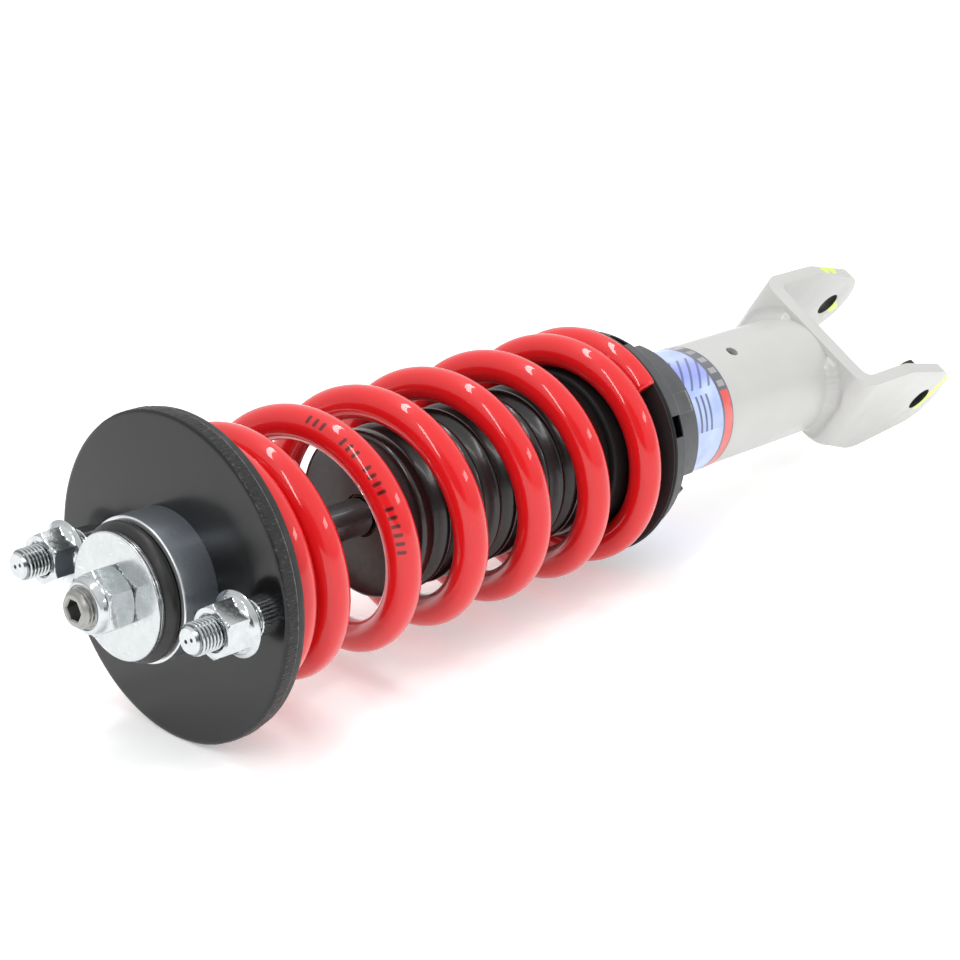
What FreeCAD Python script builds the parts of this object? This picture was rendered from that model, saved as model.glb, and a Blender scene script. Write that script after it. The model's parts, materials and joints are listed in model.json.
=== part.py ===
import FreeCAD, Part
import os
from math import cos, pi, radians, sin, sqrt, tan
from FreeCAD import Vector

# A coilover suspension strut lying on its side. Millimetres.
# Origin: centre of the top plate's outer face. +X runs down the damper to the lower fork, +Z is up.

# ---- top plate and its bush ----
PLATE_R = 51.7
PLATE_T = 5.0
ISOLATOR_R = 51.0
ISOLATOR_RIM_END = 8.0
ISOLATOR_LAND_R = 44.5
ISOLATOR_END = 11.3
ISOLATOR_BORE_R = 26.0
ISOLATOR_LIP_R = 30.4
ISOLATOR_LIP_END = 13.6
HOUSING_R = 22.5
HOUSING_WALL = 1.9
HOUSING_TOP = -12.6
BUSH_TOP = -17.4
BUSH_BOTTOM = 9.5
BUSH_BULGE = 0.8
SPACER_R = 9.0
WASHER_R = 19.6
WASHER_T = 1.2
LOWER_WASHER_T = 1.5
LOWER_WASHER_R = 19.0

# ---- studs and nuts ----
STUD_SPACING = 79.0
STUD_R = 5.0
STUD_TIP = -25.8
STUD_THREAD_R = 4.6
STUD_COLLAR_R = 6.0
STUD_COLLAR_H = 3.2
STUD_NUT_FLANGE_R = 10.1
STUD_NUT_FLANGE_T = 2.2
STUD_NUT_BASE = -7.4
STUD_NUT_HEIGHT = 10.2
STUD_NUT_FLATS = 15.0
ROD_NUT_FLATS = 18.0
ROD_NUT_HEX_HEIGHT = 9.0
ROD_NUT_COLLAR_R = 8.8
ROD_NUT_HEIGHT = 11.9
NUT_INSERT_R = 7.5
NUT_INSERT_H = 2.2

# ---- piston rod and piston ----
ROD_R = 6.25
ROD_STUD_R = 5.95
ROD_TIP = -35.0
ROD_SOCKET_FLATS = 6.0
ROD_SOCKET_DEPTH = 7.0
ROD_SPIGOT_R = 5.0
REBOUND_STOP_X = 207.5
REBOUND_STOP_R = 11.0
PISTON_X = 211.0
PISTON_END = 222.0
PISTON_R = 14.7
PISTON_RING_R = 14.94
PISTON_RING_H = 5.0
PISTON_RING_WALL = 1.2
PISTON_NUT_END = 228.0
PISTON_NUT_FLATS = 14.0
ROD_END = 230.0
BUMP_STOP_X = 83.0
BUMP_STOP_END = 111.0
BUMP_STOP_R = 18.0
BUMP_STOP_WAIST_R = 14.5

# ---- coil spring ----
WIRE_R = 5.635
COIL_R = 36.64
COIL_PITCH = 30.42
COIL_CLOSED_PITCH = 11.40
COIL_REFERENCE_X = 59.41
COIL_REFERENCE_ANGLE = 152.9
COIL_FIRST_TURN = -2.46
COIL_LAST_TURN = 4.956
COIL_OPENS_AT = -1.03
COIL_CLOSES_AT = 3.94
COIL_EASE = 0.10
SPRING_END = 191.3

# ---- dust boot and lower spring seat ----
BOOT_TOP = 79.3
BOOT_TOP_R = 28.0
BOOT_VALLEY_R = 24.2
BOOT_WALL = 1.2
BOOT_BORE_R = 7.2
BOOT_PLEATS = 10
BOOT_PLEATS_START = 84.0
BOOT_PLEATS_END = 164.0
BOOT_END = 172.0
BOOT_CUFF_R = 28.4
SLIP_WASHER_T = 0.7
SLIP_WASHER_R = 41.2
SEAT_SPIGOT_R = 30.3
SEAT_NECK_TOP = 166.0
SEAT_SPIGOT_TOP = 172.0
SEAT_FLANGE_R = 41.4
SEAT_END = 193.3
THREAD_BORE_R = 24.06
COLLAR_R = 38.6
COLLAR_END = 201.4
COLLAR_LIP_END = 196.5
COLLAR_NOTCHES = 6
COLLAR_NOTCH_ANGLE = 161.2
COLLAR_NOTCH_DEPTH = 4.6
COLLAR_TAB_ANGLE = 149.8
COLLAR_TAB_END = 209.0
SLOT_W = 7.7
LOCK_RING_X = 202.0
LOCK_RING_END = 218.5
LOCK_RING_R = 31.6
LOCK_RING_NOTCHES = 3
LOCK_RING_NOTCH_ANGLE = 207.5
LOCK_RING_NOTCH_DEPTH = 4.2
LOCK_RING_NOTCH_W = 8.3

# ---- damper body ----
GLAND_X = 178.0
GLAND_END = 183.0
SEAL_END = 187.0
GUIDE_END = 196.0
GUIDE_BUSH_R = 7.8
ROD_FIT_R = 6.30
BODY_R = 21.4
BODY_BORE_R = 19.6
BODY_END = 308.0
PRESSURE_TUBE_R = 16.6
PRESSURE_TUBE_BORE_R = 15.0
BASE_VALVE_X = 298.0
BASE_VALVE_END = 306.0
SLEEVE_X = 180.0
SLEEVE_END = 222.0
SLEEVE_R = 24.0
BRACKET_TUBE_R = 23.6
DRAIN_X = 266.0
DRAIN_ANGLE = 114.5
DRAIN_R = 2.4
LABEL_R = 23.85
LABEL_END = 249.9

# ---- lower fork, built with its pin axis along Y and then turned about X ----
FORK_TILT = 33.2
FORK_OUTER = 31.4
FORK_INNER = 26.2
WEB_BACK = 315.5
WEB_FRONT = 322.8
BEND_OUTER_R = 9.0
BEND_INNER_R = 4.0
PIN_X = 379.0
PIN_HOLE_R = 5.25
EAR_TIP_R = 15.6
EAR_TOP = 24.0
EAR_TOP_END = 350.0
EAR_BELLY = -20.6
EAR_BELLY_X = 346.0
WEB_BOTTOM = -11.0
WELD_LEG = 3.2
WELD_TOP = 22.0
CAPTIVE_NUT_FLATS = 18.0
CAPTIVE_NUT_H = 9.0

X_AXIS = Vector(1, 0, 0)
ORIGIN = Vector(0, 0, 0)


def turned(profile):
    """A solid of revolution about X from a closed outline of (x, radius) points."""
    points = [Vector(x, 0, r) for x, r in profile]
    points.append(points[0])
    return Part.Face(Part.makePolygon(points)).revolve(ORIGIN, X_AXIS, 360)


def tube(x0, x1, r_in, r_out, chamfer=0.0):
    """A plain tube from x0 to x1 with its outer corners chamfered."""
    c = chamfer
    outline = [(x0, r_in), (x0, r_out - c), (x0 + c, r_out), (x1 - c, r_out), (x1, r_out - c), (x1, r_in)]
    if c == 0:
        outline = [(x0, r_in), (x0, r_out), (x1, r_out), (x1, r_in)]
    return turned(outline)


def rod(x0, x1, r):
    return Part.makeCylinder(r, x1 - x0, Vector(x0, 0, 0), X_AXIS)


def hex_bar(x0, x1, flats):
    """A hexagonal prism along X, two corners up and down."""
    corner = flats / sqrt(3)
    ring = [Vector(x0, corner * sin(i * pi / 3), corner * cos(i * pi / 3)) for i in range(7)]
    return Part.Face(Part.makePolygon(ring)).extrude(Vector(x1 - x0, 0, 0))


def hex_nut(x_tip, x_base, flats, bore_r):
    """A hexagon nut whose corners are chamfered at both ends by a 30 degree cone."""
    corner = flats / sqrt(3)
    drop = (corner - flats / 2) * tan(radians(30))
    cone = turned([(x_tip, 0), (x_tip, flats / 2), (x_tip + drop, corner + 0.1),
                   (x_base - drop, corner + 0.1), (x_base, flats / 2), (x_base, 0)])
    return hex_bar(x_tip, x_base, flats).common(cone).cut(rod(x_tip - 1, x_base + 1, bore_r))


def write(name, *solids):
    shape = solids[0] if len(solids) == 1 else Part.makeCompound(solids)
    if not shape.isValid():
        raise ValueError(name + " is not a valid shape")
    shape.exportStep("parts/" + name + ".step")
    print("%-20s %d solid(s) %9.1f mm3" % (name, len(shape.Solids), shape.Volume))


# ---- top mount ----

def top_plate():
    plate = tube(0, PLATE_T, HOUSING_R, PLATE_R, 0.5)
    for side in (-1, 1):
        hole = rod(-1, PLATE_T + 1, STUD_COLLAR_R)
        hole.translate(Vector(0, side * STUD_SPACING / 2, 0))
        plate = plate.cut(hole)
    return plate


def spring_isolator():
    """A rubber ring under the plate: a rim, a raised land and a lip that centres the spring."""
    return turned([(PLATE_T, ISOLATOR_BORE_R), (PLATE_T, ISOLATOR_R - 0.5), (PLATE_T + 0.5, ISOLATOR_R),
                   (ISOLATOR_RIM_END - 0.9, ISOLATOR_R), (ISOLATOR_RIM_END, ISOLATOR_R - 0.9),
                   (ISOLATOR_RIM_END, ISOLATOR_LAND_R + 0.8), (ISOLATOR_END - 0.6, ISOLATOR_LAND_R),
                   (ISOLATOR_END, ISOLATOR_LAND_R - 0.6), (ISOLATOR_END, ISOLATOR_LIP_R),
                   (ISOLATOR_LIP_END - 0.6, ISOLATOR_LIP_R), (ISOLATOR_LIP_END, ISOLATOR_LIP_R - 0.6),
                   (ISOLATOR_LIP_END, ISOLATOR_BORE_R)])


def bush_housing():
    return tube(HOUSING_TOP, PLATE_T, HOUSING_R - HOUSING_WALL, HOUSING_R, 0.3)


def rubber_bush():
    """Rubber that fills the housing and swells over its rim at both ends."""
    inner = HOUSING_R - HOUSING_WALL
    swell = HOUSING_R - BUSH_BULGE
    return turned([(BUSH_TOP, SPACER_R), (BUSH_TOP, swell - 2.4), (BUSH_TOP + 1.0, swell - 0.7),
                   (BUSH_TOP + 2.4, swell), (HOUSING_TOP - 0.8, swell - 0.2), (HOUSING_TOP, inner),
                   (PLATE_T, inner), (PLATE_T + 0.8, swell - 0.2), (BUSH_BOTTOM - 1.4, swell),
                   (BUSH_BOTTOM, swell - 2.0), (BUSH_BOTTOM, SPACER_R)])


def bush_spacer():
    return tube(BUSH_TOP, BUSH_BOTTOM, ROD_STUD_R, SPACER_R)


def backing_washer():
    return tube(BUSH_TOP - WASHER_T, BUSH_TOP, ROD_STUD_R, WASHER_R - 0.25, 0.15)


def top_washer():
    return tube(BUSH_TOP - 2 * WASHER_T, BUSH_TOP - WASHER_T, ROD_STUD_R, WASHER_R, 0.25)


def lower_washer():
    return tube(BUSH_BOTTOM, BUSH_BOTTOM + LOWER_WASHER_T, ROD_STUD_R, LOWER_WASHER_R, 0.3)


def rod_nut():
    """A lock nut: a hexagon with a round collar that holds the nylon ring."""
    base = BUSH_TOP - 2 * WASHER_T
    hexagon = hex_nut(base - ROD_NUT_HEX_HEIGHT, base, ROD_NUT_FLATS, ROD_STUD_R)
    tip = base - ROD_NUT_HEIGHT
    collar = turned([(tip, ROD_STUD_R + 0.9), (tip, ROD_NUT_COLLAR_R - 1.0), (tip + 1.0, ROD_NUT_COLLAR_R),
                     (base - ROD_NUT_HEX_HEIGHT + 1.0, ROD_NUT_COLLAR_R),
                     (base - ROD_NUT_HEX_HEIGHT + 1.0, ROD_STUD_R + 0.9)])
    groove = rod(tip + 0.5, tip + 0.5 + NUT_INSERT_H, NUT_INSERT_R)
    return hexagon.fuse(collar).cut(groove).removeSplitter()


def nut_insert_ring():
    tip = BUSH_TOP - 2 * WASHER_T - ROD_NUT_HEIGHT
    return tube(tip + 0.5, tip + 0.5 + NUT_INSERT_H, ROD_STUD_R, NUT_INSERT_R)


def each_stud(make):
    """One copy of a fastener for each of the two stud positions."""
    solids = []
    for side in (-1, 1):
        solid = make()
        solid.translate(Vector(0, side * STUD_SPACING / 2, 0))
        solids.append(solid)
    return solids


def mount_stud():
    """A stud pressed through the plate. Its thread is drawn at full size at the free tip and at its
    pitch size where the nut sits and below."""
    nut_tip = STUD_NUT_BASE - STUD_NUT_HEIGHT
    return turned([(STUD_TIP, 0), (STUD_TIP, STUD_R - 1.0), (STUD_TIP + 1.0, STUD_R),
                   (nut_tip, STUD_R), (nut_tip, STUD_THREAD_R), (-STUD_COLLAR_H, STUD_THREAD_R),
                   (-STUD_COLLAR_H, STUD_COLLAR_R), (PLATE_T, STUD_COLLAR_R), (PLATE_T, 0)])


def stud_flange_nut():
    tip = STUD_NUT_BASE - STUD_NUT_HEIGHT
    hexagon = hex_nut(tip, STUD_NUT_BASE - 0.5, STUD_NUT_FLATS, STUD_THREAD_R)
    flange_top = STUD_NUT_BASE - STUD_NUT_FLANGE_T
    flange = turned([(flange_top, STUD_THREAD_R), (flange_top, 8.0), (STUD_NUT_BASE - 0.9, STUD_NUT_FLANGE_R),
                     (STUD_NUT_BASE, STUD_NUT_FLANGE_R - 0.2), (STUD_NUT_BASE, STUD_THREAD_R)])
    return hexagon.fuse(flange).removeSplitter()


# ---- rod, piston and bump stop ----

def piston_rod():
    body = turned([(ROD_TIP, 0), (ROD_TIP, ROD_STUD_R - 1.0), (ROD_TIP + 1.0, ROD_STUD_R),
                   (BUSH_BOTTOM + LOWER_WASHER_T, ROD_STUD_R), (BUSH_BOTTOM + LOWER_WASHER_T, ROD_R),
                   (PISTON_X, ROD_R), (PISTON_X, ROD_SPIGOT_R), (ROD_END, ROD_SPIGOT_R), (ROD_END, 0)])
    return body.cut(hex_bar(ROD_TIP - 1, ROD_TIP + ROD_SOCKET_DEPTH, ROD_SOCKET_FLATS))


def bump_stop():
    """A rubber stop with one waist, pushed on to the rod."""
    middle = (BUMP_STOP_X + BUMP_STOP_END) / 2
    return turned([(BUMP_STOP_X, ROD_R), (BUMP_STOP_X, BUMP_STOP_R - 1.5), (BUMP_STOP_X + 1.5, BUMP_STOP_R),
                   (middle - 5, BUMP_STOP_R), (middle - 1, BUMP_STOP_WAIST_R), (middle + 1, BUMP_STOP_WAIST_R),
                   (middle + 5, BUMP_STOP_R), (BUMP_STOP_END - 6, BUMP_STOP_R - 1.0),
                   (BUMP_STOP_END, BUMP_STOP_WAIST_R - 2), (BUMP_STOP_END, ROD_R)])


def rebound_stop():
    return tube(REBOUND_STOP_X, PISTON_X, ROD_R, REBOUND_STOP_R, 0.4)


def piston():
    groove_x = (PISTON_X + PISTON_END - PISTON_RING_H) / 2
    groove_r = PISTON_RING_R - PISTON_RING_WALL
    body = turned([(PISTON_X, ROD_SPIGOT_R), (PISTON_X, PISTON_R), (groove_x, PISTON_R),
                   (groove_x, groove_r), (groove_x + PISTON_RING_H, groove_r),
                   (groove_x + PISTON_RING_H, PISTON_R), (PISTON_END, PISTON_R), (PISTON_END, ROD_SPIGOT_R)])
    for i in range(6):
        port = rod(PISTON_X - 1, PISTON_END + 1, 1.3)
        port.translate(Vector(0, 9.5 * cos(i * pi / 3), 9.5 * sin(i * pi / 3)))
        body = body.cut(port)
    return body


def piston_ring():
    groove_x = (PISTON_X + PISTON_END - PISTON_RING_H) / 2
    return tube(groove_x, groove_x + PISTON_RING_H, PISTON_RING_R - PISTON_RING_WALL, PISTON_RING_R)


def piston_nut():
    return hex_nut(PISTON_END, PISTON_NUT_END, PISTON_NUT_FLATS, ROD_SPIGOT_R)


# ---- spring ----

def coil_x(turn):
    """Where the wire's centre is along X, in turns from the reference crossing.

    The pitch is closed at both ends and open between them, and eases from one to the other."""
    def eased(u):
        if u < -COIL_EASE:
            return 0.0
        if u > COIL_EASE:
            return u
        return (u + COIL_EASE) ** 2 / (4 * COIL_EASE)
    slack = COIL_PITCH - COIL_CLOSED_PITCH
    uniform = COIL_REFERENCE_X + COIL_PITCH * turn
    return uniform + slack * eased(COIL_OPENS_AT - turn) - slack * eased(turn - COIL_CLOSES_AT)


def coil_spring():
    """Round wire swept along the coil, with both end coils ground flat."""
    per_turn = 20
    count = int((COIL_LAST_TURN - COIL_FIRST_TURN) * per_turn) + 1
    points = []
    for i in range(count + 1):
        turn = COIL_FIRST_TURN + (COIL_LAST_TURN - COIL_FIRST_TURN) * i / count
        angle = radians(COIL_REFERENCE_ANGLE) + 2 * pi * turn
        points.append(Vector(coil_x(turn), COIL_R * cos(angle), COIL_R * sin(angle)))
    curve = Part.BSplineCurve()
    curve.interpolate(points)
    path = Part.Wire(curve.toShape())
    start = curve.tangent(curve.FirstParameter)[0]
    section = Part.Wire(Part.makeCircle(WIRE_R, points[0], start))
    wire = path.makePipeShell([section], True, True)
    block = Part.makeBox(SPRING_END - ISOLATOR_END, 120, 120, Vector(ISOLATOR_END, -60, -60))
    return Part.Solid(wire.Shells[0]).common(block)


# ---- boot, slip washer, seat and collars ----

def dust_boot():
    """A thin pleated tube with a flat end that the rod passes through."""
    outer = [(BOOT_TOP, BOOT_BORE_R), (BOOT_TOP, BOOT_TOP_R - 1.5), (BOOT_TOP + 1.5, BOOT_TOP_R)]
    step = (BOOT_PLEATS_END - BOOT_PLEATS_START) / BOOT_PLEATS
    for i in range(BOOT_PLEATS):
        x = BOOT_PLEATS_START + i * step
        outer += [(x - 1.0, BOOT_TOP_R), (x + step * 0.35, BOOT_VALLEY_R), (x + step * 0.55, BOOT_VALLEY_R)]
    outer += [(BOOT_PLEATS_END, BOOT_CUFF_R), (BOOT_END, BOOT_CUFF_R)]
    inner = [(x, r - BOOT_WALL) for x, r in outer[4:]]
    inner.insert(0, (BOOT_PLEATS_START - 1.0, BOOT_TOP_R - BOOT_WALL - 0.6))
    inner.insert(0, (BOOT_TOP + BOOT_WALL, BOOT_TOP_R - 2.5))
    inner.insert(0, (BOOT_TOP + BOOT_WALL, BOOT_BORE_R))
    return turned(outer + inner[::-1])


def slip_washer():
    return tube(SPRING_END, SPRING_END + SLIP_WASHER_T, SEAT_SPIGOT_R + 0.3, SLIP_WASHER_R)


def spring_seat():
    """The lower spring seat: a neck for the boot, a spigot that centres the spring and a flange."""
    flange_x = SPRING_END + SLIP_WASHER_T
    neck_r = BOOT_CUFF_R - BOOT_WALL
    return turned([(SEAT_NECK_TOP, THREAD_BORE_R), (SEAT_NECK_TOP, neck_r - 0.5),
                   (SEAT_NECK_TOP + 0.5, neck_r), (SEAT_SPIGOT_TOP, neck_r),
                   (SEAT_SPIGOT_TOP, SEAT_SPIGOT_R - 1.5),
                   (SEAT_SPIGOT_TOP + 1.5, SEAT_SPIGOT_R), (flange_x, SEAT_SPIGOT_R),
                   (flange_x, SEAT_FLANGE_R - 0.3), (flange_x + 0.3, SEAT_FLANGE_R),
                   (SEAT_END - 0.3, SEAT_FLANGE_R), (SEAT_END, SEAT_FLANGE_R - 0.3), (SEAT_END, THREAD_BORE_R)])


def rim_block(x0, x1, r_in, r_out, width, angle):
    """A box on a ring's rim: from x0 to x1, between two radii and centred on an angle about X."""
    block = Part.makeBox(x1 - x0, r_out - r_in, width, Vector(x0, r_in, -width / 2))
    block.rotate(ORIGIN, X_AXIS, angle)
    return block


def adjuster_collar():
    """A threaded collar: a full lip in front, spanner slots behind it and one tab over the lock ring."""
    ring = tube(SEAT_END, COLLAR_END, THREAD_BORE_R, COLLAR_R, 0.6)
    floor_r = COLLAR_R - COLLAR_NOTCH_DEPTH
    for i in range(COLLAR_NOTCHES):
        angle = COLLAR_NOTCH_ANGLE + i * 360.0 / COLLAR_NOTCHES
        ring = ring.cut(rim_block(COLLAR_LIP_END, COLLAR_END + 1, floor_r, COLLAR_R + 1, SLOT_W, angle))
    band = tube(COLLAR_END - 1, COLLAR_TAB_END, floor_r, COLLAR_R)
    tab = band.common(rim_block(COLLAR_END - 1, COLLAR_TAB_END, floor_r - 1, COLLAR_R + 1, SLOT_W,
                                COLLAR_TAB_ANGLE))
    return ring.fuse(tab).removeSplitter()


def lock_ring():
    """A long jam ring with spanner slots cut through its rim."""
    ring = tube(LOCK_RING_X, LOCK_RING_END, THREAD_BORE_R, LOCK_RING_R, 0.8)
    floor_r = LOCK_RING_R - LOCK_RING_NOTCH_DEPTH
    for i in range(LOCK_RING_NOTCHES):
        angle = LOCK_RING_NOTCH_ANGLE + i * 360.0 / LOCK_RING_NOTCHES
        ring = ring.cut(rim_block(LOCK_RING_X - 1, LOCK_RING_END + 1, floor_r, LOCK_RING_R + 1,
                                  LOCK_RING_NOTCH_W, angle))
    return ring


# ---- damper body ----

def gland_nut():
    return tube(GLAND_X, GLAND_END, ROD_FIT_R + 0.6, BODY_BORE_R)


def rod_seal():
    return tube(GLAND_END, SEAL_END, ROD_FIT_R, BODY_BORE_R)


def rod_guide():
    return tube(SEAL_END, GUIDE_END, GUIDE_BUSH_R, BODY_BORE_R)


def guide_bush():
    return tube(SEAL_END, GUIDE_END, ROD_FIT_R, GUIDE_BUSH_R)


def damper_tube():
    return tube(GLAND_X - 1.0, BODY_END, BODY_BORE_R, BODY_R, 0.5)


def pressure_tube():
    return tube(GUIDE_END, BASE_VALVE_X, PRESSURE_TUBE_BORE_R, PRESSURE_TUBE_R)


def base_valve():
    """A valve disc that closes the pressure tube, with ports to the outer chamber."""
    disc = rod(BASE_VALVE_X, BASE_VALVE_END, PRESSURE_TUBE_R)
    for i in range(4):
        port = rod(BASE_VALVE_X - 1, BASE_VALVE_END + 1, 1.5)
        port.translate(Vector(0, 8 * cos(i * pi / 2), 8 * sin(i * pi / 2)))
        disc = disc.cut(port)
    return disc


def end_plug():
    """The steel plug that closes the bottom of the damper tube and carries the base valve."""
    return rod(BASE_VALVE_END, BODY_END, BODY_BORE_R)


def threaded_sleeve():
    return tube(SLEEVE_X, SLEEVE_END, BODY_R, SLEEVE_R, 0.6)


def bracket_tube():
    shell = tube(SLEEVE_END, WEB_BACK, BODY_R, BRACKET_TUBE_R)
    drill = Part.makeCylinder(DRAIN_R, 10, Vector(DRAIN_X, 0, BODY_R - 2), Vector(0, 0, 1))
    drill.rotate(ORIGIN, X_AXIS, DRAIN_ANGLE - 90)
    return shell.cut(drill)


def label_band():
    return tube(SLEEVE_END, LABEL_END, BRACKET_TUBE_R, LABEL_R)


# ---- fork ----

def tilted(shape):
    shape.rotate(ORIGIN, X_AXIS, FORK_TILT)
    return shape


def arc(centre, r, a0, a1):
    """An arc in the XY plane between two angles in degrees, through their mean."""
    def at(angle):
        return Vector(centre[0] + r * cos(radians(angle)), centre[1] + r * sin(radians(angle)), 0)
    return Part.Arc(at(a0), at((a0 + a1) / 2), at(a1)).toShape()


def line(a, b):
    return Part.makeLine(Vector(a[0], a[1], 0), Vector(b[0], b[1], 0))


def fork_plan():
    """The bent bracket seen from above: web, two rounded bends and two straight ears."""
    tip = PIN_X + EAR_TIP_R + 5
    outer_bend = WEB_BACK + BEND_OUTER_R
    outer_y = FORK_OUTER - BEND_OUTER_R
    inner_bend = WEB_FRONT + BEND_INNER_R
    inner_y = FORK_INNER - BEND_INNER_R
    edges = [line((tip, FORK_OUTER), (outer_bend, FORK_OUTER)),
             arc((outer_bend, outer_y), BEND_OUTER_R, 90, 180),
             line((WEB_BACK, outer_y), (WEB_BACK, -outer_y)),
             arc((outer_bend, -outer_y), BEND_OUTER_R, 180, 270),
             line((outer_bend, -FORK_OUTER), (tip, -FORK_OUTER)),
             line((tip, -FORK_OUTER), (tip, -FORK_INNER)),
             line((tip, -FORK_INNER), (inner_bend, -FORK_INNER)),
             arc((inner_bend, -inner_y), BEND_INNER_R, 270, 180),
             line((WEB_FRONT, -inner_y), (WEB_FRONT, inner_y)),
             arc((inner_bend, inner_y), BEND_INNER_R, 180, 90),
             line((inner_bend, FORK_INNER), (tip, FORK_INNER)),
             line((tip, FORK_INNER), (tip, FORK_OUTER))]
    return Part.Face(Part.Wire(edges)).extrude(Vector(0, 0, 2 * EAR_TOP + 10))


def fork_side():
    """The bracket seen from the side: a flat top, a belly, and a round tip about the pin hole."""
    top_touch = 78.0
    low_touch = -79.0
    top = (PIN_X + EAR_TIP_R * cos(radians(top_touch)), EAR_TIP_R * sin(radians(top_touch)))
    low = (PIN_X + EAR_TIP_R * cos(radians(low_touch)), EAR_TIP_R * sin(radians(low_touch)))
    belly = (EAR_BELLY_X, EAR_BELLY)
    edges = [arc((PIN_X, 0), EAR_TIP_R, low_touch, top_touch),
             line(top, (EAR_TOP_END, EAR_TOP)),
             line((EAR_TOP_END, EAR_TOP), (WEB_BACK - 1, EAR_TOP)),
             line((WEB_BACK - 1, EAR_TOP), (WEB_BACK - 1, WEB_BOTTOM)),
             line((WEB_BACK - 1, WEB_BOTTOM), (WEB_FRONT, WEB_BOTTOM)),
             line((WEB_FRONT, WEB_BOTTOM), belly),
             line(belly, low)]
    side = Part.Face(Part.Wire(edges)).extrude(Vector(0, 0, 2 * FORK_OUTER + 10))
    side = side.makeFillet(12.0, [upright_edge(side, EAR_TOP_END, EAR_TOP)])
    return side.makeFillet(25.0, [upright_edge(side, EAR_BELLY_X, EAR_BELLY)])


def upright_edge(solid, x, y):
    """The edge of a prism that stands at one corner of its outline."""
    for edge in solid.Edges:
        box = edge.BoundBox
        if box.ZLength > FORK_OUTER and abs(box.XMin - x) < 0.01 and abs(box.YMin - y) < 0.01:
            return edge
    raise ValueError("no edge at that corner")


def fork_bracket():
    plan = fork_plan()
    plan.translate(Vector(0, 0, -EAR_TOP - 5))
    side = fork_side()
    side.translate(Vector(0, 0, -FORK_OUTER - 5))
    side.rotate(ORIGIN, X_AXIS, 90)
    bracket = plan.common(side)
    pin = Part.makeCylinder(PIN_HOLE_R, 100, Vector(PIN_X, -50, 0), Vector(0, 1, 0))
    return tilted(bracket.cut(pin))


def weld_bead():
    """The two fillet welds between the bracket tube and the web, one on each side."""
    bead = turned([(WEB_BACK - WELD_LEG, BRACKET_TUBE_R), (WEB_BACK - WELD_LEG * 0.3, BRACKET_TUBE_R + WELD_LEG * 0.3),
                   (WEB_BACK, BRACKET_TUBE_R + WELD_LEG), (WEB_BACK, BRACKET_TUBE_R)])
    keep = Part.makeBox(20, 80, WELD_TOP - WEB_BOTTOM - 0.2, Vector(WEB_BACK - 10, -40, WEB_BOTTOM + 0.2))
    kept = bead.common(keep)
    return [tilted(solid.copy()) for solid in kept.Solids]


def captive_nut():
    """The welded nut on the inside of one ear."""
    nut = hex_nut(0, CAPTIVE_NUT_H, CAPTIVE_NUT_FLATS, PIN_HOLE_R)
    nut.rotate(ORIGIN, Vector(0, 0, 1), 90)
    nut.translate(Vector(PIN_X, -FORK_INNER, 0))
    return tilted(nut)


os.makedirs("parts", exist_ok=True)
for make in (top_plate, spring_isolator, bush_housing, rubber_bush, bush_spacer, backing_washer, top_washer,
             lower_washer, rod_nut, nut_insert_ring, piston_rod, bump_stop, rebound_stop, piston, piston_ring,
             piston_nut, coil_spring, dust_boot, slip_washer, spring_seat, adjuster_collar, lock_ring,
             gland_nut, rod_seal, rod_guide, guide_bush, damper_tube, pressure_tube, base_valve, end_plug,
             threaded_sleeve, bracket_tube, label_band, fork_bracket, captive_nut):
    write(make.__name__, make())
write("mount_studs", *each_stud(mount_stud))
write("stud_flange_nuts", *each_stud(stud_flange_nut))
write("weld_bead", *weld_bead())
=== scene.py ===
import json
from math import ceil, cos, pi, radians, sin, sqrt, tan

import bmesh
import bpy
from mathutils import Matrix, Vector, noise


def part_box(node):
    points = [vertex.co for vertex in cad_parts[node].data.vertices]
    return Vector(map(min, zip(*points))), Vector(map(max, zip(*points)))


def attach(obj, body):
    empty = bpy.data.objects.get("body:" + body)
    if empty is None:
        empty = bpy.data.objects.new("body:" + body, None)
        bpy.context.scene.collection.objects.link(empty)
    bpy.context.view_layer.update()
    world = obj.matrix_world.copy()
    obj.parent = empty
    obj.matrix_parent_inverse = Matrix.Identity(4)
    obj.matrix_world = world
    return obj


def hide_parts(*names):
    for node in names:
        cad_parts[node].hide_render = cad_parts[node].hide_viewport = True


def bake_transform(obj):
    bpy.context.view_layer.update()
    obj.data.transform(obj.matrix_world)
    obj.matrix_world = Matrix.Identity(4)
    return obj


# The looks of a coilover strut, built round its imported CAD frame. Sizes are millimetres in the row frame:
# +X runs along the damper from the top plate to the fork, and angles turn from +Y towards +Z about +X.
# On the fork, u runs along the cross bolt and v square to it and to X.

MM = 0.001

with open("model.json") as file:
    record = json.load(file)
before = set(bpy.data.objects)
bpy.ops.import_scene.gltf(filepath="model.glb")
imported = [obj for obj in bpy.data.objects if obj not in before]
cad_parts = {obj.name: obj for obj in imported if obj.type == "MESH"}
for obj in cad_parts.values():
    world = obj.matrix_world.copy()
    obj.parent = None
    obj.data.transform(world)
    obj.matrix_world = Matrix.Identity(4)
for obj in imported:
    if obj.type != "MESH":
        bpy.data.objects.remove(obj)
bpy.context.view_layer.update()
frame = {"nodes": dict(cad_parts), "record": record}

THREAD_STEPS = 9
COARSE_PITCH = 1.25
STUD_SHOULDER = 6.0
SLEEVE_PITCH = 2.0
HEX_CORNER_CONE = tan(radians(30))

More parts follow.
